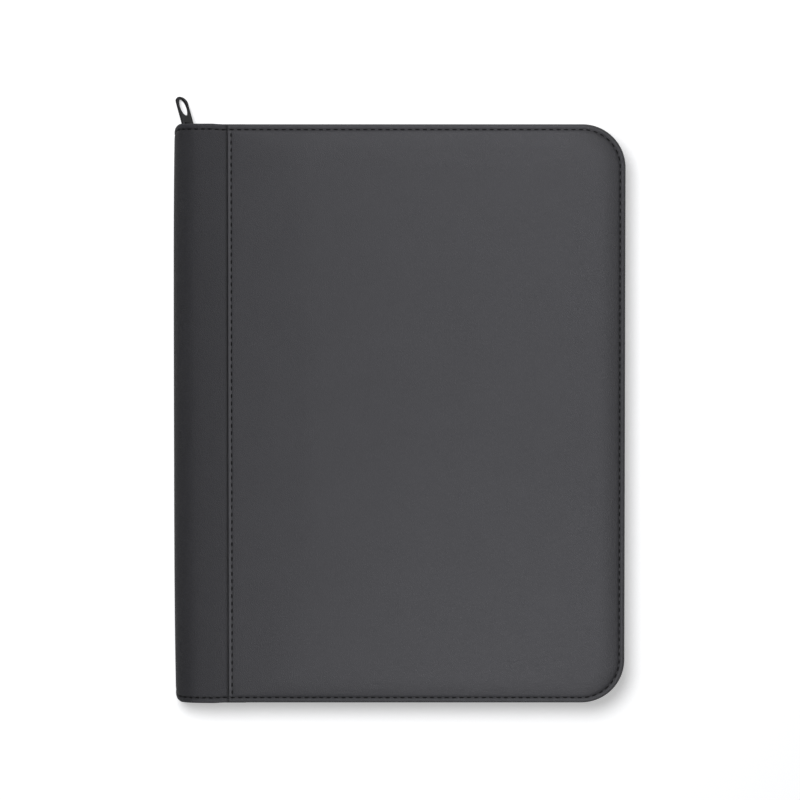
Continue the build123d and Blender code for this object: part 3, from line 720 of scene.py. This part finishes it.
# The rear cover's leather faces down
front_leather = cover_leather("front", False, cover_rise)
rear_leather = cover_leather("rear", True, None)


# Spine leather, in two halves that meet at the middle of the spine

COVERS = (("rear", False), ("front", True))
# Bodies that each half of the spine bends between, and where
BENDS = {
    "rear": ("rear_cover", "spine", (-0.106, 0.0, 0.001), (-0.130, 0.0, 0.014)),
    "front": ("spine", "front_cover", (-0.130, 0.0, 0.014), (-0.106, 0.0, 0.027)),
}
SPINE_NODES = {"rear": ("rear_spine_band", "spine_panel", "spine_foam"), "front": ("front_spine_band",)}
ARC_STEPS = 40
SPINE_ROWS = 80
# Depth past which a row of the hem lies inside, and how much deeper it grows towards the cover
HEM_DEPTH = 0.9
HEM_GROWTH = 1.3
HEM_GROWS_X = -122.0
HEM_GROWS_OVER = 14.0
SLIDER_ROOM_X = -110.0
SLIDER_ROOM_OVER = 3.5
BAND_ENDS_OVER = 15.0
# Grid lines close together where painted shade of the panel's fold darkens the leather beside it
SEAM_CREVICE = (-98.8, -99.1, -99.35, -99.85, -100.1, -100.4, -100.8, -101.2)


def band_drop(x):
    """How far the spine leather slopes away beside the seam, before it turns round the spine."""
    return BAND_SLOPE * max(0.0, SEAM_X - x) * (1.0 - smooth((SPINE_X - 1.0 - x) / BAND_ENDS_OVER))


def spine_profile(front, inward, tail_x, extra=()):
    """Places this far inward, from the tail under the cover to mid spine, with their outward directions."""
    sign = 1.0 if front else -1.0
    reach, rise = SPINE_REACH - inward, SPINE_RISE - inward
    places = [(tail_x, MID_DEPTH + sign * rise, 0.0, sign)]
    for x in sorted(spread(tail_x, SPINE_X, 2.0) + list(extra), reverse=True):
        places.append((x, MID_DEPTH + sign * (rise - band_drop(x)), 0.0, sign))
    for k in range(1, ARC_STEPS + 1):
        turn = k / ARC_STEPS * pi / 2
        across, up = sin(turn) / reach, cos(turn) / rise
        length = hypot(across, up)
        x = SPINE_X - reach * sin(turn)
        places.append((x, MID_DEPTH + sign * (rise * cos(turn) - band_drop(x)),
                       -across / length, sign * up / length))
    return places


def spine_half_height(x):
    """Half the spine's height, a little slack away from the seam, less its rounded plan corners."""
    full = HALF_HEIGHT + END_SLACK * smooth((SEAM_X - 2.0 - x) / 8.0)
    over = SPINE_X - SPINE_REACH + SPINE_CORNER - x
    if over <= 0:
        return full
    return full - SPINE_CORNER + sqrt(max(0.0, SPINE_CORNER ** 2 - over ** 2))


def spine_bow(out_x, y):
    """Slack of the spine leather, which bows out between its stitched ends."""
    return SPINE_BOW * out_x * (1.0 - (y / HALF_HEIGHT) ** 4)


# Painted shade in the crevice beside the panel's folded edge
def crevice(x):
    return 0.9 * dent(x, SEAM_X - 0.75, 0.55)


def spine_leather(side, front):
    profile = spine_profile(front, 0.0, SPINE_TAIL_X, SEAM_CREVICE)
    rows = [(-1.0, inset, depth) for inset, depth in HEMMED_END]
    rows += [(0.0, k / SPINE_ROWS, 0.0) for k in range(1, SPINE_ROWS)]
    rows += [(1.0, inset, depth) for inset, depth in reversed(HEMMED_END)]
    bm, places = grid(len(profile), len(rows))
    groove_shade, lightened, _ = [bm.verts.layers.float[name] for name in MARKS]
    for (i, j), v in places.items():
        x, z, out_x, out_z = profile[i]
        end, inset, depth = rows[j]
        half = spine_half_height(x)
        if depth > HEM_DEPTH:
            depth *= 1.0 + HEM_GROWTH * smooth((x - HEM_GROWS_X) / HEM_GROWS_OVER)
            if end > 0 and inset > SLIDER_ROOM:
                inset -= (inset - SLIDER_ROOM) * smooth((SLIDER_ROOM_X - x) / SLIDER_ROOM_OVER)
        # Painted shade in the seam's crevice, and below in the stitch grooves of the hemmed ends
        v[groove_shade] = crevice(x)
        if end:
            y = end * (half - inset)
            v[groove_shade] = max(v[groove_shade], dent(inset, STITCH_IN) if depth < 0.5 else 0.0)
            # Lighter colour on the fold of the hemmed ends, as on the seam's ridge: partly wear, partly
            # painted highlight
            v[lightened] = 0.7 if inset < 2.5 and depth < HEM_DEPTH else 0.0
        else:
            reach = half - HEMMED_END[-1][0]
            y = -reach + 2.0 * reach * inset
        v.co = (x - out_x * depth + spine_bow(out_x, y), y, z - out_z * depth)
    if front:
        flip(bm)
    piece = finish_piece("spine_leather_" + side, bm, SHADED_SPINE_LEATHER, None, SPINE_NODES[side])
    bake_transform(piece, *BENDS[side])


for side, front in COVERS:
    spine_leather(side, front)


# Lines round the open edges: zipper and stitches

def edge_length(start_x, inset):
    radius = CORNER - inset
    return 2.0 * (HALF_WIDTH - CORNER - start_x) + pi * radius + 2.0 * (HALF_HEIGHT - CORNER)


def edge_place(run, start_x, inset):
    """Place and outward direction on a line inside the open edges, this far along from its head end."""
    rest = edge_length(start_x, inset) - run
    if rest < run:
        x, y, out_x, out_y = edge_place(rest, start_x, inset)
        return x, -y, out_x, -out_y
    radius = CORNER - inset
    centre_x, centre_y = HALF_WIDTH - CORNER, HALF_HEIGHT - CORNER
    past = run - (centre_x - start_x)
    if past < 0:
        return start_x + run, HALF_HEIGHT - inset, 0.0, 1.0
    turn = pi / 2 - past / radius
    if turn > 0:
        out_x, out_y = cos(turn), sin(turn)
        return centre_x + radius * out_x, centre_y + radius * out_y, out_x, out_y
    return HALF_WIDTH - inset, centre_y + radius * turn, 1.0, 0.0


def edge_frame(run, start_x, inset, z, turned=False):
    """Where a tooth or stitch stands on that line: along it, outward and up, or turned over."""
    x, y, out_x, out_y = edge_place(run, start_x, inset)
    along, out, up = Vector((out_y, -out_x, 0.0)), Vector((out_x, out_y, 0.0)), Vector((0.0, 0.0, 1.0))
    if turned:
        out, up = -out, -up
    return Matrix.Translation((x, y, z)) @ Matrix((along, out, up)).transposed().to_4x4()


def put(bm, shape, place):
    """Adds a copy of a small repeated shape."""
    start = len(bm.verts)
    bm.from_mesh(shape)
    bm.verts.ensure_lookup_table()
    bmesh.ops.transform(bm, matrix=place, verts=bm.verts[start:])


# Stitches

STITCH_SIZE = (2.7, 0.9, 0.56)
POCKET_PITCH = 4.0
# Where the thread lies, from the face of the leather
EDGE_THREAD = -0.54
SEAM_THREAD = -0.12
SPINE_THREAD = -0.36


def stitch_shape():
    bm = bmesh.new()
    bmesh.ops.create_uvsphere(bm, u_segments=6, v_segments=5, radius=0.5)
    bmesh.ops.rotate(bm, matrix=Matrix.Rotation(pi / 2, 3, "Y"), verts=bm.verts)
    bmesh.ops.scale(bm, vec=STITCH_SIZE, verts=bm.verts)
    return to_mesh("stitch", bm)


STITCH = stitch_shape()


def sew(name, places, body=None):
    bm = bmesh.new()
    for place in places:
        put(bm, STITCH, place)
    return finish_piece(name, bm, THREAD, body)


def on_sheet(places, level, turned):
    """Lifts stitches to a sheet's level, as set_on does the sheet."""
    lifts = [DEPTH - level - 2.0 * place.translation.z if turned else level for place in places]
    return [Matrix.Translation((0.0, 0.0, lift)) @ place for lift, place in zip(lifts, places)]


def edge_stitches(start_x, inset, z):
    total = edge_length(start_x, inset)
    count = round(total / STITCH_PITCH)
    return [edge_frame(total * (k + 0.5) / count, start_x, inset, z) for k in range(count)]


def straight_stitches(first, last, z, pitch=STITCH_PITCH):
    """Stitches on a straight line between two places in plan."""
    start, end = Vector((*first, z)), Vector((*last, z))
    count = max(1, round((end - start).length / pitch))
    facing = (end - start).to_track_quat("X", "Z").to_matrix().to_4x4()
    return [Matrix.Translation(start.lerp(end, (k + 0.5) / count)) @ facing for k in range(count)]


def corner_stitches(centre_x, centre_y, radius, start, z):
    """Stitches on a quarter circle from a starting angle."""
    count = max(1, round(radius * pi / 2 / POCKET_PITCH))
    places = []
    for k in range(count):
        angle = start + (k + 0.5) / count * pi / 2
        spot = (centre_x + radius * cos(angle), centre_y + radius * sin(angle), z)
        places.append(Matrix.Translation(spot) @ Matrix.Rotation(angle + pi / 2, 4, "Z"))
    return places


SEAM_STITCH_X = SEAM_X + SEAM_STITCH_IN
SEAM_STITCH_Y = HALF_HEIGHT - 4.2
cover_stitches = edge_stitches(SEAM_X + 0.4, STITCH_IN, EDGE_THREAD)
cover_stitches += straight_stitches((SEAM_STITCH_X, SEAM_STITCH_Y), (SEAM_STITCH_X, -SEAM_STITCH_Y),
                                    SEAM_THREAD)
sew("front_stitches", on_sheet(cover_stitches, DEPTH, False), "front_cover")
sew("rear_stitches", on_sheet(cover_stitches, DEPTH, True), "rear_cover")


def spine_stitches(side, front):
    """Stitches across the spine leather at head and tail."""
    profile = spine_profile(front, 0.0, SEAM_X)
    runs = [0.0]
    for before, after in zip(profile, profile[1:]):
        runs.append(runs[-1] + hypot(after[0] - before[0], after[1] - before[1]))
    places = []
    count = round(runs[-1] / STITCH_PITCH)
    for k in range(count):
        at = runs[-1] * (k + 0.5) / count
        x, z, out_x, out_z = [float(np.interp(at, runs, column)) for column in zip(*profile)]
        out = Vector((out_x, 0.0, out_z)).normalized()
        along = Vector((0.0, 1.0, 0.0)).cross(out)
        facing = Matrix((along, (0.0, 1.0, 0.0), out)).transposed().to_4x4()
        for end in (-1.0, 1.0):
            y = end * (spine_half_height(x) - STITCH_IN)
            places.append(Matrix.Translation(Vector((x, y, z)) + out * SPINE_THREAD) @ facing)
    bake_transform(sew("spine_stitches_" + side, places), *BENDS[side])


for side, front in COVERS:
    spine_stitches(side, front)

# Zipper

ROW_IN = 5.7
ROW_START = -124.5
ROW_LENGTH = edge_length(ROW_START, ROW_IN)
TEETH_PITCH = 4.0
STOP_RUN = 1.5
TAPE_LOW = 4.5
TAPE_STEP = 2.4
HEM_THICKNESS = 1.9
# Across the tape: how far out from its middle, and the height, from the inside over the corded edge
TAPE_PROFILE = [
    (-0.3, TAPE_LOW), (-0.3, 7.0), (-0.3, 9.6), (-0.32, 10.7), (-0.55, 11.0), (-0.7, 11.4), (-0.7, 11.9),
    (-0.5, 12.3), (0.0, 12.45), (0.7, 12.3), (1.05, 11.9), (1.05, 11.4), (0.7, 11.0), (0.32, 10.7),
    (0.3, 9.6), (0.3, 7.0), (0.3, TAPE_LOW),
]
# Length along the row, depth across it and height of each level of a tooth above its foot
TOOTH_LEVELS = [(1.5, 2.2, 12.8), (0.95, 1.7, 13.2), (1.3, 1.9, 13.6), (1.3, 1.9, 14.2), (0.8, 1.3, 14.55)]


def spine_inside(x):
    """Height of the hemmed spine leather's inner face under the ends of the tape."""
    share = min(1.0, max(0.0, (SPINE_X - x) / (SPINE_REACH - HEM_THICKNESS)))
    return MID_DEPTH - (SPINE_RISE - HEM_THICKNESS) * sqrt(1.0 - share ** 2)


def zipper_tape(side, front):
    count = round(ROW_LENGTH / TAPE_STEP)
    bm, places = grid(count + 1, len(TAPE_PROFILE))
    flat = {}
    for (i, j), v in places.items():
        run = ROW_LENGTH * i / count
        x, y, out_x, out_y = edge_place(run, ROW_START, ROW_IN)
        out, z = TAPE_PROFILE[j]
        z = max(z, spine_inside(x) + 0.1)
        v.co = (x + out * out_x, y + out * out_y, DEPTH - z if front else z)
        flat[v] = (run, 1.2 * j)
    lay_flat(bm, flat)
    if front:
        flip(bm)
    tape = finish_piece(side + "_tape", bm, TAPE_CLOTH, side + "_cover",
                        ("zipper_tape_" + side,))


def tooth_shape():
    """One moulded tooth: a foot round the corded edge, a neck and a head, from the tape's middle upward."""
    bm = bmesh.new()
    foot = Matrix.Translation((0.0, 0.0, 12.0)) @ Matrix.Diagonal((1.8, 2.9, 1.1, 1.0))
    bmesh.ops.create_cube(bm, size=1.0, matrix=foot)
    for wide, deep, z in TOOTH_LEVELS:
        top = max(bm.faces, key=lambda face: face.calc_center_median().z)
        head = bmesh.ops.extrude_discrete_faces(bm, faces=[top])["faces"][0]
        for v in head.verts:
            v.co = (copysign(wide / 2, v.co.x), copysign(deep / 2, v.co.y), z)
    return to_mesh("tooth", bm)


def stop_shape():
    """Moulded stop at the end of a row."""
    bm = bmesh.new()
    block = Matrix.Translation((0.0, 0.0, 12.2)) @ Matrix.Diagonal((2.8, 3.2, 2.6, 1.0))
    bmesh.ops.create_cube(bm, size=1.0, matrix=block)
    round_edges(bm, bm.edges[:], 0.5, 2)
    return to_mesh("stop", bm)


TOOTH = tooth_shape()
STOP = stop_shape()


def zipper_row(side, front):
    bm = bmesh.new()
    level = DEPTH if front else 0.0
    run = TEETH_PITCH * (1.5 if front else 1.0)
    while run < ROW_LENGTH - TEETH_PITCH:
        put(bm, TOOTH, edge_frame(run, ROW_START, ROW_IN, level, front))
        run += TEETH_PITCH
    put(bm, STOP, edge_frame(STOP_RUN, ROW_START, ROW_IN, level, front))
    finish_piece(side + "_teeth", bm, TEETH_PLASTIC, side + "_cover",
                 ("zipper_teeth_" + side,), shade_smooth=False)


# Linings

LINING_LEVEL = 4.4
LINING_PLAN = (-105.0, 123.8, -160.8, 160.8)
LINING_CORNER = 18.8
LINING_GROOVE = 2.0
LINING_EDGE = [
    (0.0, 0.65), (0.06, 0.3), (0.3, 0.08), (0.8, 0.0), (1.6, 0.04), (2.0, 0.16), (2.4, 0.04), (3.2, 0.0),
]
LINING_TUCK = [(0.0, 0.6), (0.4, 0.15), (1.2, 0.0), (3.0, 0.0)]
SPINE_LINING_IN = 3.45
SPINE_LINING_TAIL_X = -102.0
SPINE_LINING_FLAT = 156.5
# Distance from the middle and depth of the tucked ends of the spine's lining
SPINE_LINING_END = [(158.0, 0.6), (157.9, 0.25), (157.5, 0.05)]


def cover_lining(side, front):
    bm = turned_sheet(LINING_PLAN, LINING_EDGE, LINING_CORNER, 8.0, spine=LINING_TUCK,
                      grooves=(LINING_GROOVE,))
    set_on(bm, LINING_LEVEL, front)
    lining = finish_piece(side + "_lining_cloth", bm, LINING_CLOTH, side + "_cover",
                          (side + "_lining",))


def spine_lining(side, front):
    """Lining over the inside of the spine, one half, tucked under the cover's lining."""
    profile = spine_profile(front, SPINE_LINING_IN, SPINE_LINING_TAIL_X)
    rows = [(-y, depth) for y, depth in SPINE_LINING_END]
    rows += [(y, 0.0) for y in spread(-SPINE_LINING_FLAT, SPINE_LINING_FLAT, 6.0)]
    rows += SPINE_LINING_END[::-1]
    bm, places = grid(len(profile), len(rows))
    flat = {}
    for (i, j), v in places.items():
        x, z, out_x, out_z = profile[i]
        y, depth = rows[j]
        v.co = (x + out_x * depth, y, z + out_z * depth)
        flat[v] = (i * 1.1, y)
    lay_flat(bm, flat)
    if not front:
        flip(bm)
    lining = finish_piece("spine_lining_" + side, bm, LINING_CLOTH, None,
                          () if front else ("spine_lining",))
    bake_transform(lining, *BENDS[side])


for make_pair in (zipper_tape, zipper_row, cover_lining, spine_lining):
    for side, front in COVERS:
        make_pair(side, front)

# Pockets

SLEEVE_EDGE = [
    (0.0, 2.3), (0.0, 1.4), (0.1, 0.75), (0.4, 0.3), (1.0, 0.06), (1.6, 0.05), (2.0, 0.28), (2.3, 0.38),
    (2.6, 0.28), (3.0, 0.06), (4.0, 0.0),
]
OPEN_HEM = [
    (7.0, 0.75), (1.0, 0.75), (0.25, 0.65), (0.0, 0.4), (0.2, 0.12), (0.7, 0.0), (2.0, 0.0), (4.2, 0.04),
    (4.6, 0.24), (4.9, 0.32), (5.2, 0.24), (5.6, 0.04), (6.5, 0.0),
]
CARD_HEM = [
    (5.0, 0.45), (0.8, 0.45), (0.2, 0.4), (0.0, 0.22), (0.15, 0.06), (0.5, 0.0), (1.6, 0.0), (2.3, 0.04),
    (2.6, 0.14), (2.9, 0.04), (3.6, 0.0),
]


def card_edge(fall):
    return [(0.0, fall), (0.0, fall * 0.55), (0.15, 0.28), (0.5, 0.05), (1.0, 0.02), (1.4, 0.16), (1.7, 0.24),
            (2.0, 0.16), (2.5, 0.0)]


def pocket(name, node_name, side, plan, level, card_fall=None, sag=0.0):
    """A patch pocket, sewn on three sides and hemmed at its mouth, slightly slack."""
    # Tables of its edge and hem, corner radius, how far in and down the thread lies, and the mouth's line
    edge, hem, corner, inset, sunk, mouth = SLEEVE_EDGE, OPEN_HEM, 8.0, 2.3, 0.38, 4.9
    if card_fall:
        edge, hem, corner, inset, sunk, mouth = card_edge(card_fall), CARD_HEM, 4.5, 1.7, 0.24, 2.6
    spine_x, fore_x, tail_y, head_y = plan
    wide, high = fore_x - spine_x, head_y - tail_y

    def slack(x, y):
        across = max(0.0, 1.0 - ((2.0 * x - spine_x - fore_x) / wide) ** 2)
        return sag * across * smooth((y - tail_y) / high) * (0.7 + 0.3 * sin(x * 0.11 + y * 0.03))

    bm = turned_sheet(plan, edge, corner, 6.0, head=hem, rise=slack, grooves=())
    turned = side == "front"
    set_on(bm, level, turned)
    piece = finish_piece(name, bm, POCKET_LEATHER, side + "_cover", (node_name,))
    left, right, low = spine_x + inset, fore_x - inset, tail_y + inset
    z = 0.2 - sunk
    places = corner_stitches(spine_x + corner, tail_y + corner, corner - inset, pi, z)
    places += corner_stitches(fore_x - corner, tail_y + corner, corner - inset, 1.5 * pi, z)
    for first, last, at in (
        ((left, head_y - 1.0), (left, tail_y + corner), z),
        ((spine_x + corner, low), (fore_x - corner, low), z),
        ((right, tail_y + corner), (right, head_y - 1.0), z),
        ((left + 2.0, head_y - mouth), (right - 2.0, head_y - mouth), 0.02 + sag * 0.75),
    ):
        places += straight_stitches(first, last, at, POCKET_PITCH)
    sew(name + "_stitches", on_sheet(places, level, turned), side + "_cover")


POCKET_LEVEL = 6.8
CARD_X = -28.0
CARD_HEAD = 70.0
CARD_HALF = 46.0
CARD_HEIGHT = 56.0
CARD_STEP = 16.0
CARD_WIDENS = 2.7
pocket("sleeve_leather", "pad_sleeve", "rear", (-101.3, 123.3, -149.8, 100.0), POCKET_LEVEL)
pocket("document_pocket_leather", "document_pocket", "front", (-92.0, 118.0, -152.0, 92.0), POCKET_LEVEL,
       sag=0.3)
for step in range(3):
    half, head = CARD_HALF + CARD_WIDENS * step, CARD_HEAD - CARD_STEP * step
    pocket("card_pocket_leather_%d" % (step + 1), "card_pocket_%d" % (step + 1), "front",
           (CARD_X - half, CARD_X + half, head - CARD_HEIGHT, head), POCKET_LEVEL + 1.0 + step, 0.95 + step)

# Card window

WINDOW_AT = (48.0, -100.0)
WINDOW_SIZE = (104.0, 72.0)
WINDOW_BORDER = 9.0
WINDOW_LEVEL = 6.85
WINDOW_THICKNESS = 0.95


def window_frame():
    """Leather frame round the clear window."""
    bm = bmesh.new()
    bm.loops.layers.uv.new("flat")
    bmesh.ops.create_grid(bm, x_segments=1, y_segments=1, size=0.5)
    bmesh.ops.scale(bm, vec=(*WINDOW_SIZE, 1.0), verts=bm.verts)
    ring = bmesh.ops.inset_region(bm, faces=bm.faces[:], thickness=WINDOW_BORDER, use_boundary=True,
                                  use_even_offset=True)["faces"]
    middle = [face for face in bm.faces if face not in ring]
    bmesh.ops.delete(bm, geom=middle, context="FACES")
    raised = bmesh.ops.extrude_face_region(bm, geom=bm.faces[:])["geom"]
    bmesh.ops.translate(bm, vec=(0.0, 0.0, WINDOW_THICKNESS),
                        verts=[e for e in raised if isinstance(e, bmesh.types.BMVert)])
    upright = [e for e in bm.edges if abs(e.verts[0].co.z - e.verts[1].co.z) > 0.5]
    round_edges(bm, upright, 3.0, 5)
    bm.normal_update()
    rim = [e for e in bm.edges if min(v.co.z for v in e.verts) > 0.9 and len(e.link_faces) == 2
           and abs(e.link_faces[0].normal.z - e.link_faces[1].normal.z) > 0.5]
    round_edges(bm, rim, 0.35, 3)
    bmesh.ops.recalc_face_normals(bm, faces=bm.faces)
    bmesh.ops.translate(bm, vec=(*WINDOW_AT, 0.0), verts=bm.verts)
    set_on(bm, WINDOW_LEVEL, True)
    piece = finish_piece("window_frame_leather", bm, POCKET_LEATHER, "front_cover",
                         ("id_window_frame",))
    piece.data.set_sharp_from_angle(angle=radians(40.0))
    places = []
    # Outer line open at the mouth, inner line all round
    for inset, sides in ((2.0, 3), (7.0, 4)):
        reach_x, reach_y = [size / 2 - inset for size in WINDOW_SIZE]
        corners = [(WINDOW_AT[0] + a * reach_x, WINDOW_AT[1] + b * reach_y)
                   for a, b in ((-1, 1), (-1, -1), (1, -1), (1, 1), (-1, 1))]
        for first, last in list(zip(corners, corners[1:]))[:sides]:
            places += straight_stitches(first, last, DEPTH - WINDOW_LEVEL - WINDOW_THICKNESS, POCKET_PITCH)
    sew("window_frame_stitches", places, "front_cover")


window_frame()

# Pen loop

PEN_AT = (-108.8, 10.9)
PEN_RADIUS = 5.9
PEN_TAB_X = -101.8
PEN_TURNS = 56
# Along the pen and off the strip's middle, over one face from end to end; the other face mirrors it
PEN_FACE = [(8.0, 0.0), (8.1, 0.3), (8.4, 0.4)] + [(y, 0.4) for y in spread(8.4, 31.6, 1.7)] + [(31.9, 0.3)]


def pen_loop():
    """Elastic loop: one flat strip that leaves the seam, goes round the pen and comes back."""
    centre_x, centre_z = PEN_AT
    path = [(x, centre_z - PEN_RADIUS, 0.0, 1.0) for x in [PEN_TAB_X] + spread(PEN_TAB_X, centre_x, 1.4)]
    for k in range(1, PEN_TURNS + 1):
        turn = -pi / 2 - k / PEN_TURNS * 2.0 * pi
        across, up = cos(turn), sin(turn)
        path.append((centre_x + PEN_RADIUS * across, centre_z + PEN_RADIUS * up, -across, -up))
    girth = PEN_FACE + [(32.0, 0.0)] + [(y, -off) for y, off in PEN_FACE[::-1]]
    bm, places = grid(len(path), len(girth))
    flat = {}
    for (i, j), v in places.items():
        x, z, in_x, in_z = path[i]
        y, off = girth[j]
        v.co = (x + in_x * off, y, z + in_z * off)
        flat[v] = (i * 0.66, y)
    lay_flat(bm, flat)
    bmesh.ops.remove_doubles(bm, verts=bm.verts, dist=0.001)
    bmesh.ops.holes_fill(bm, edges=[e for e in bm.edges if e.is_boundary], sides=0)
    bmesh.ops.recalc_face_normals(bm, faces=bm.faces)
    loop = finish_piece("pen_loop_elastic", bm, ELASTIC, "rear_cover", ("pen_loop",))


pen_loop()

# Notepad

PAGE_CORNER = (-97.0, -145.5)
PAGE_SIZE = (216.0, 257.0)
PAGE_CELLS = (44, 52)
PAGE_LEVEL = 12.14
CURL_FROM = 190.0
CURL_OVER = 85.0
CURL_HEIGHT = 2.2


def top_page():
    """The top leaf, with one corner slightly lifted."""
    bm, places = grid(PAGE_CELLS[0] + 1, PAGE_CELLS[1] + 1)
    flat = {}
    for key, v in places.items():
        x, y = [PAGE_CORNER[n] + PAGE_SIZE[n] * key[n] / PAGE_CELLS[n] for n in range(2)]
        curl = smooth((x - y - CURL_FROM) / CURL_OVER)
        v.co = (x - 0.5 * curl, y + 0.5 * curl, PAGE_LEVEL + CURL_HEIGHT * curl * curl)
        flat[v] = (x, y)
    lay_flat(bm, flat)
    page = finish_piece("top_page", bm, PAPER, "notepad")


top_page()

# Finishes and softened edges of the pieces that stay as built

STAYING = {
    "rear_board": GREYBOARD, "front_board": GREYBOARD, "zipper_retainer": TEETH_PLASTIC,
    "slider_body": BLACK_ENAMEL, "slider_bail": BLACK_ENAMEL, "pull_tab": PULL_ENAMEL,
    "notepad_backing": PAD_BOARD, "notepad_sheets": PAPER, "notepad_binding": PAD_TAPE,
    "id_window_film": FILM,
}
SOFT_EDGES = {"slider_body": 0.35, "slider_bail": 0.3, "pull_tab": 0.35, "zipper_retainer": 0.3}


def add_modifier(piece, name, kind, **settings):
    made = piece.modifiers.new(name, kind)
    for key, value in settings.items():
        setattr(made, key, value)


for node_name, material in STAYING.items():
    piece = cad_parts[node_name]
    piece.data.materials.clear()
    piece.data.materials.append(material)
    if node_name in SOFT_EDGES:
        # The pull's flat faces are thin triangles, which a bevel would crease
        merged = node_name == "pull_tab"
        add_modifier(piece, "weld", "WELD", merge_threshold=0.00001)
        if merged:
            add_modifier(piece, "merge_flats", "DECIMATE", decimate_type="DISSOLVE",
                         angle_limit=radians(1.0))
        add_modifier(piece, "soften", "BEVEL", width=SOFT_EDGES[node_name] * MM, segments=3,
                     limit_method="ANGLE", angle_limit=radians(35.0), use_clamp_overlap=not merged)
        add_modifier(piece, "even", "WEIGHTED_NORMAL", weight=80)

# Studio

WHITE = (1.0, 1.0, 1.0, 1.0)
LAMP_SIZE = 0.25
# Place and power of the lamps that light the object alone
OBJECT_LAMPS = {
    "head": ((0.08, 0.50, 0.45), 1.52),
    "head_fore": ((0.20, 0.50, 0.45), 1.10),
    "fore": ((0.20, 0.18, 0.45), 0.45),
    "tail_fore": ((0.20, -0.30, 0.45), 0.52),
    "tail": ((0.08, -0.30, 0.45), 1.40),
}
CAMERA_AIM = Vector((0.0002, 0.0084, 0.0285))
CAMERA_FAR = 2.20
CAMERA_LEAN = radians(2.5)
SENSOR = 36.0
FRAME_WIDTH = 0.4607


def seen_rays(tree, *kinds):
    """1 for the kinds of rays that look straight at a surface, 0 for the rest."""
    path = node(tree, "LightPath").outputs
    seen = path["Is Camera Ray"]
    for kind in kinds:
        seen = plus(tree, seen, path[kind], clamp=True)
    return seen


def make_floor():
    """White paper that glows where it is seen, more so far away, and still takes the object's shadow."""
    bm = bmesh.new()
    bmesh.ops.create_grid(bm, x_segments=1, y_segments=1, size=6.0)
    floor = add_object("floor", to_mesh("floor", bm))
    material, tree = new_material("pale_floor")
    tree.nodes.clear()
    matte = node(tree, "BsdfDiffuse", {"Color": (0.84, 0.845, 0.86, 1.0)})
    away = node(tree, "VectorMath", {0: object_spot(tree)}, operation="LENGTH").outputs["Value"]
    glow = remap(tree, away, 0.45, 1.3, 0.45, 1.0)
    strength = times(tree, seen_rays(tree, "Is Glossy Ray", "Is Transmission Ray"), glow)
    paper = node(tree, "Emission", {"Color": WHITE, "Strength": strength})
    both = node(tree, "AddShader", {0: matte.outputs[0], 1: paper.outputs[0]})
    node(tree, "OutputMaterial", {"Surface": both.outputs[0]})
    floor.data.materials.append(material)
    return floor


def make_lamp(name, place, size, watts, lit):
    """A round soft lamp that faces the middle, lights one collection and isn't seen itself."""
    data = bpy.data.lights.new(name, "AREA")
    data.shape = "DISK"
    data.size = size
    data.energy = watts
    lamp = add_object(name, data)
    lamp.location = Vector(place)
    lamp.rotation_euler = (-lamp.location).to_track_quat("-Z", "Y").to_euler()
    lamp.visible_camera = False
    lamp.light_linking.receiver_collection = lit


def make_studio(floor):
    scene = bpy.context.scene
    scene.view_settings.view_transform = "Standard"
    world = bpy.data.worlds.new("studio")
    scene.world = world
    world.use_nodes = True
    tree = world.node_tree
    tree.nodes.clear()
    level = remap(tree, seen_rays(tree, "Is Transmission Ray"), 0.0, 1.0, 0.06, 1.0)
    sky = node(tree, "Background", {"Color": WHITE, "Strength": level})
    node(tree, "OutputWorld", {"Surface": sky.outputs[0]})
    only_floor, not_floor = [bpy.data.collections.new(name) for name in ("only_floor", "not_floor")]
    for collection in (only_floor, not_floor):
        collection.objects.link(floor)
    not_floor.collection_objects[0].light_linking.link_state = "EXCLUDE"
    for name, (place, watts) in OBJECT_LAMPS.items():
        make_lamp(name, place, LAMP_SIZE, watts, not_floor)
    make_lamp("floor_key", (-0.25, 0.41, 1.55), 0.70, 20.5, only_floor)


def make_camera():
    data = bpy.data.cameras.new("camera")
    data.sensor_width = SENSOR
    data.lens = SENSOR * CAMERA_FAR / FRAME_WIDTH
    data.clip_start = 0.01
    camera = add_object("camera", data)
    camera.location = CAMERA_AIM + Vector((0.0, sin(CAMERA_LEAN), cos(CAMERA_LEAN))) * CAMERA_FAR
    camera.rotation_euler = (-CAMERA_LEAN, 0.0, 0.0)
    bpy.context.scene.camera = camera


make_studio(make_floor())
make_camera()
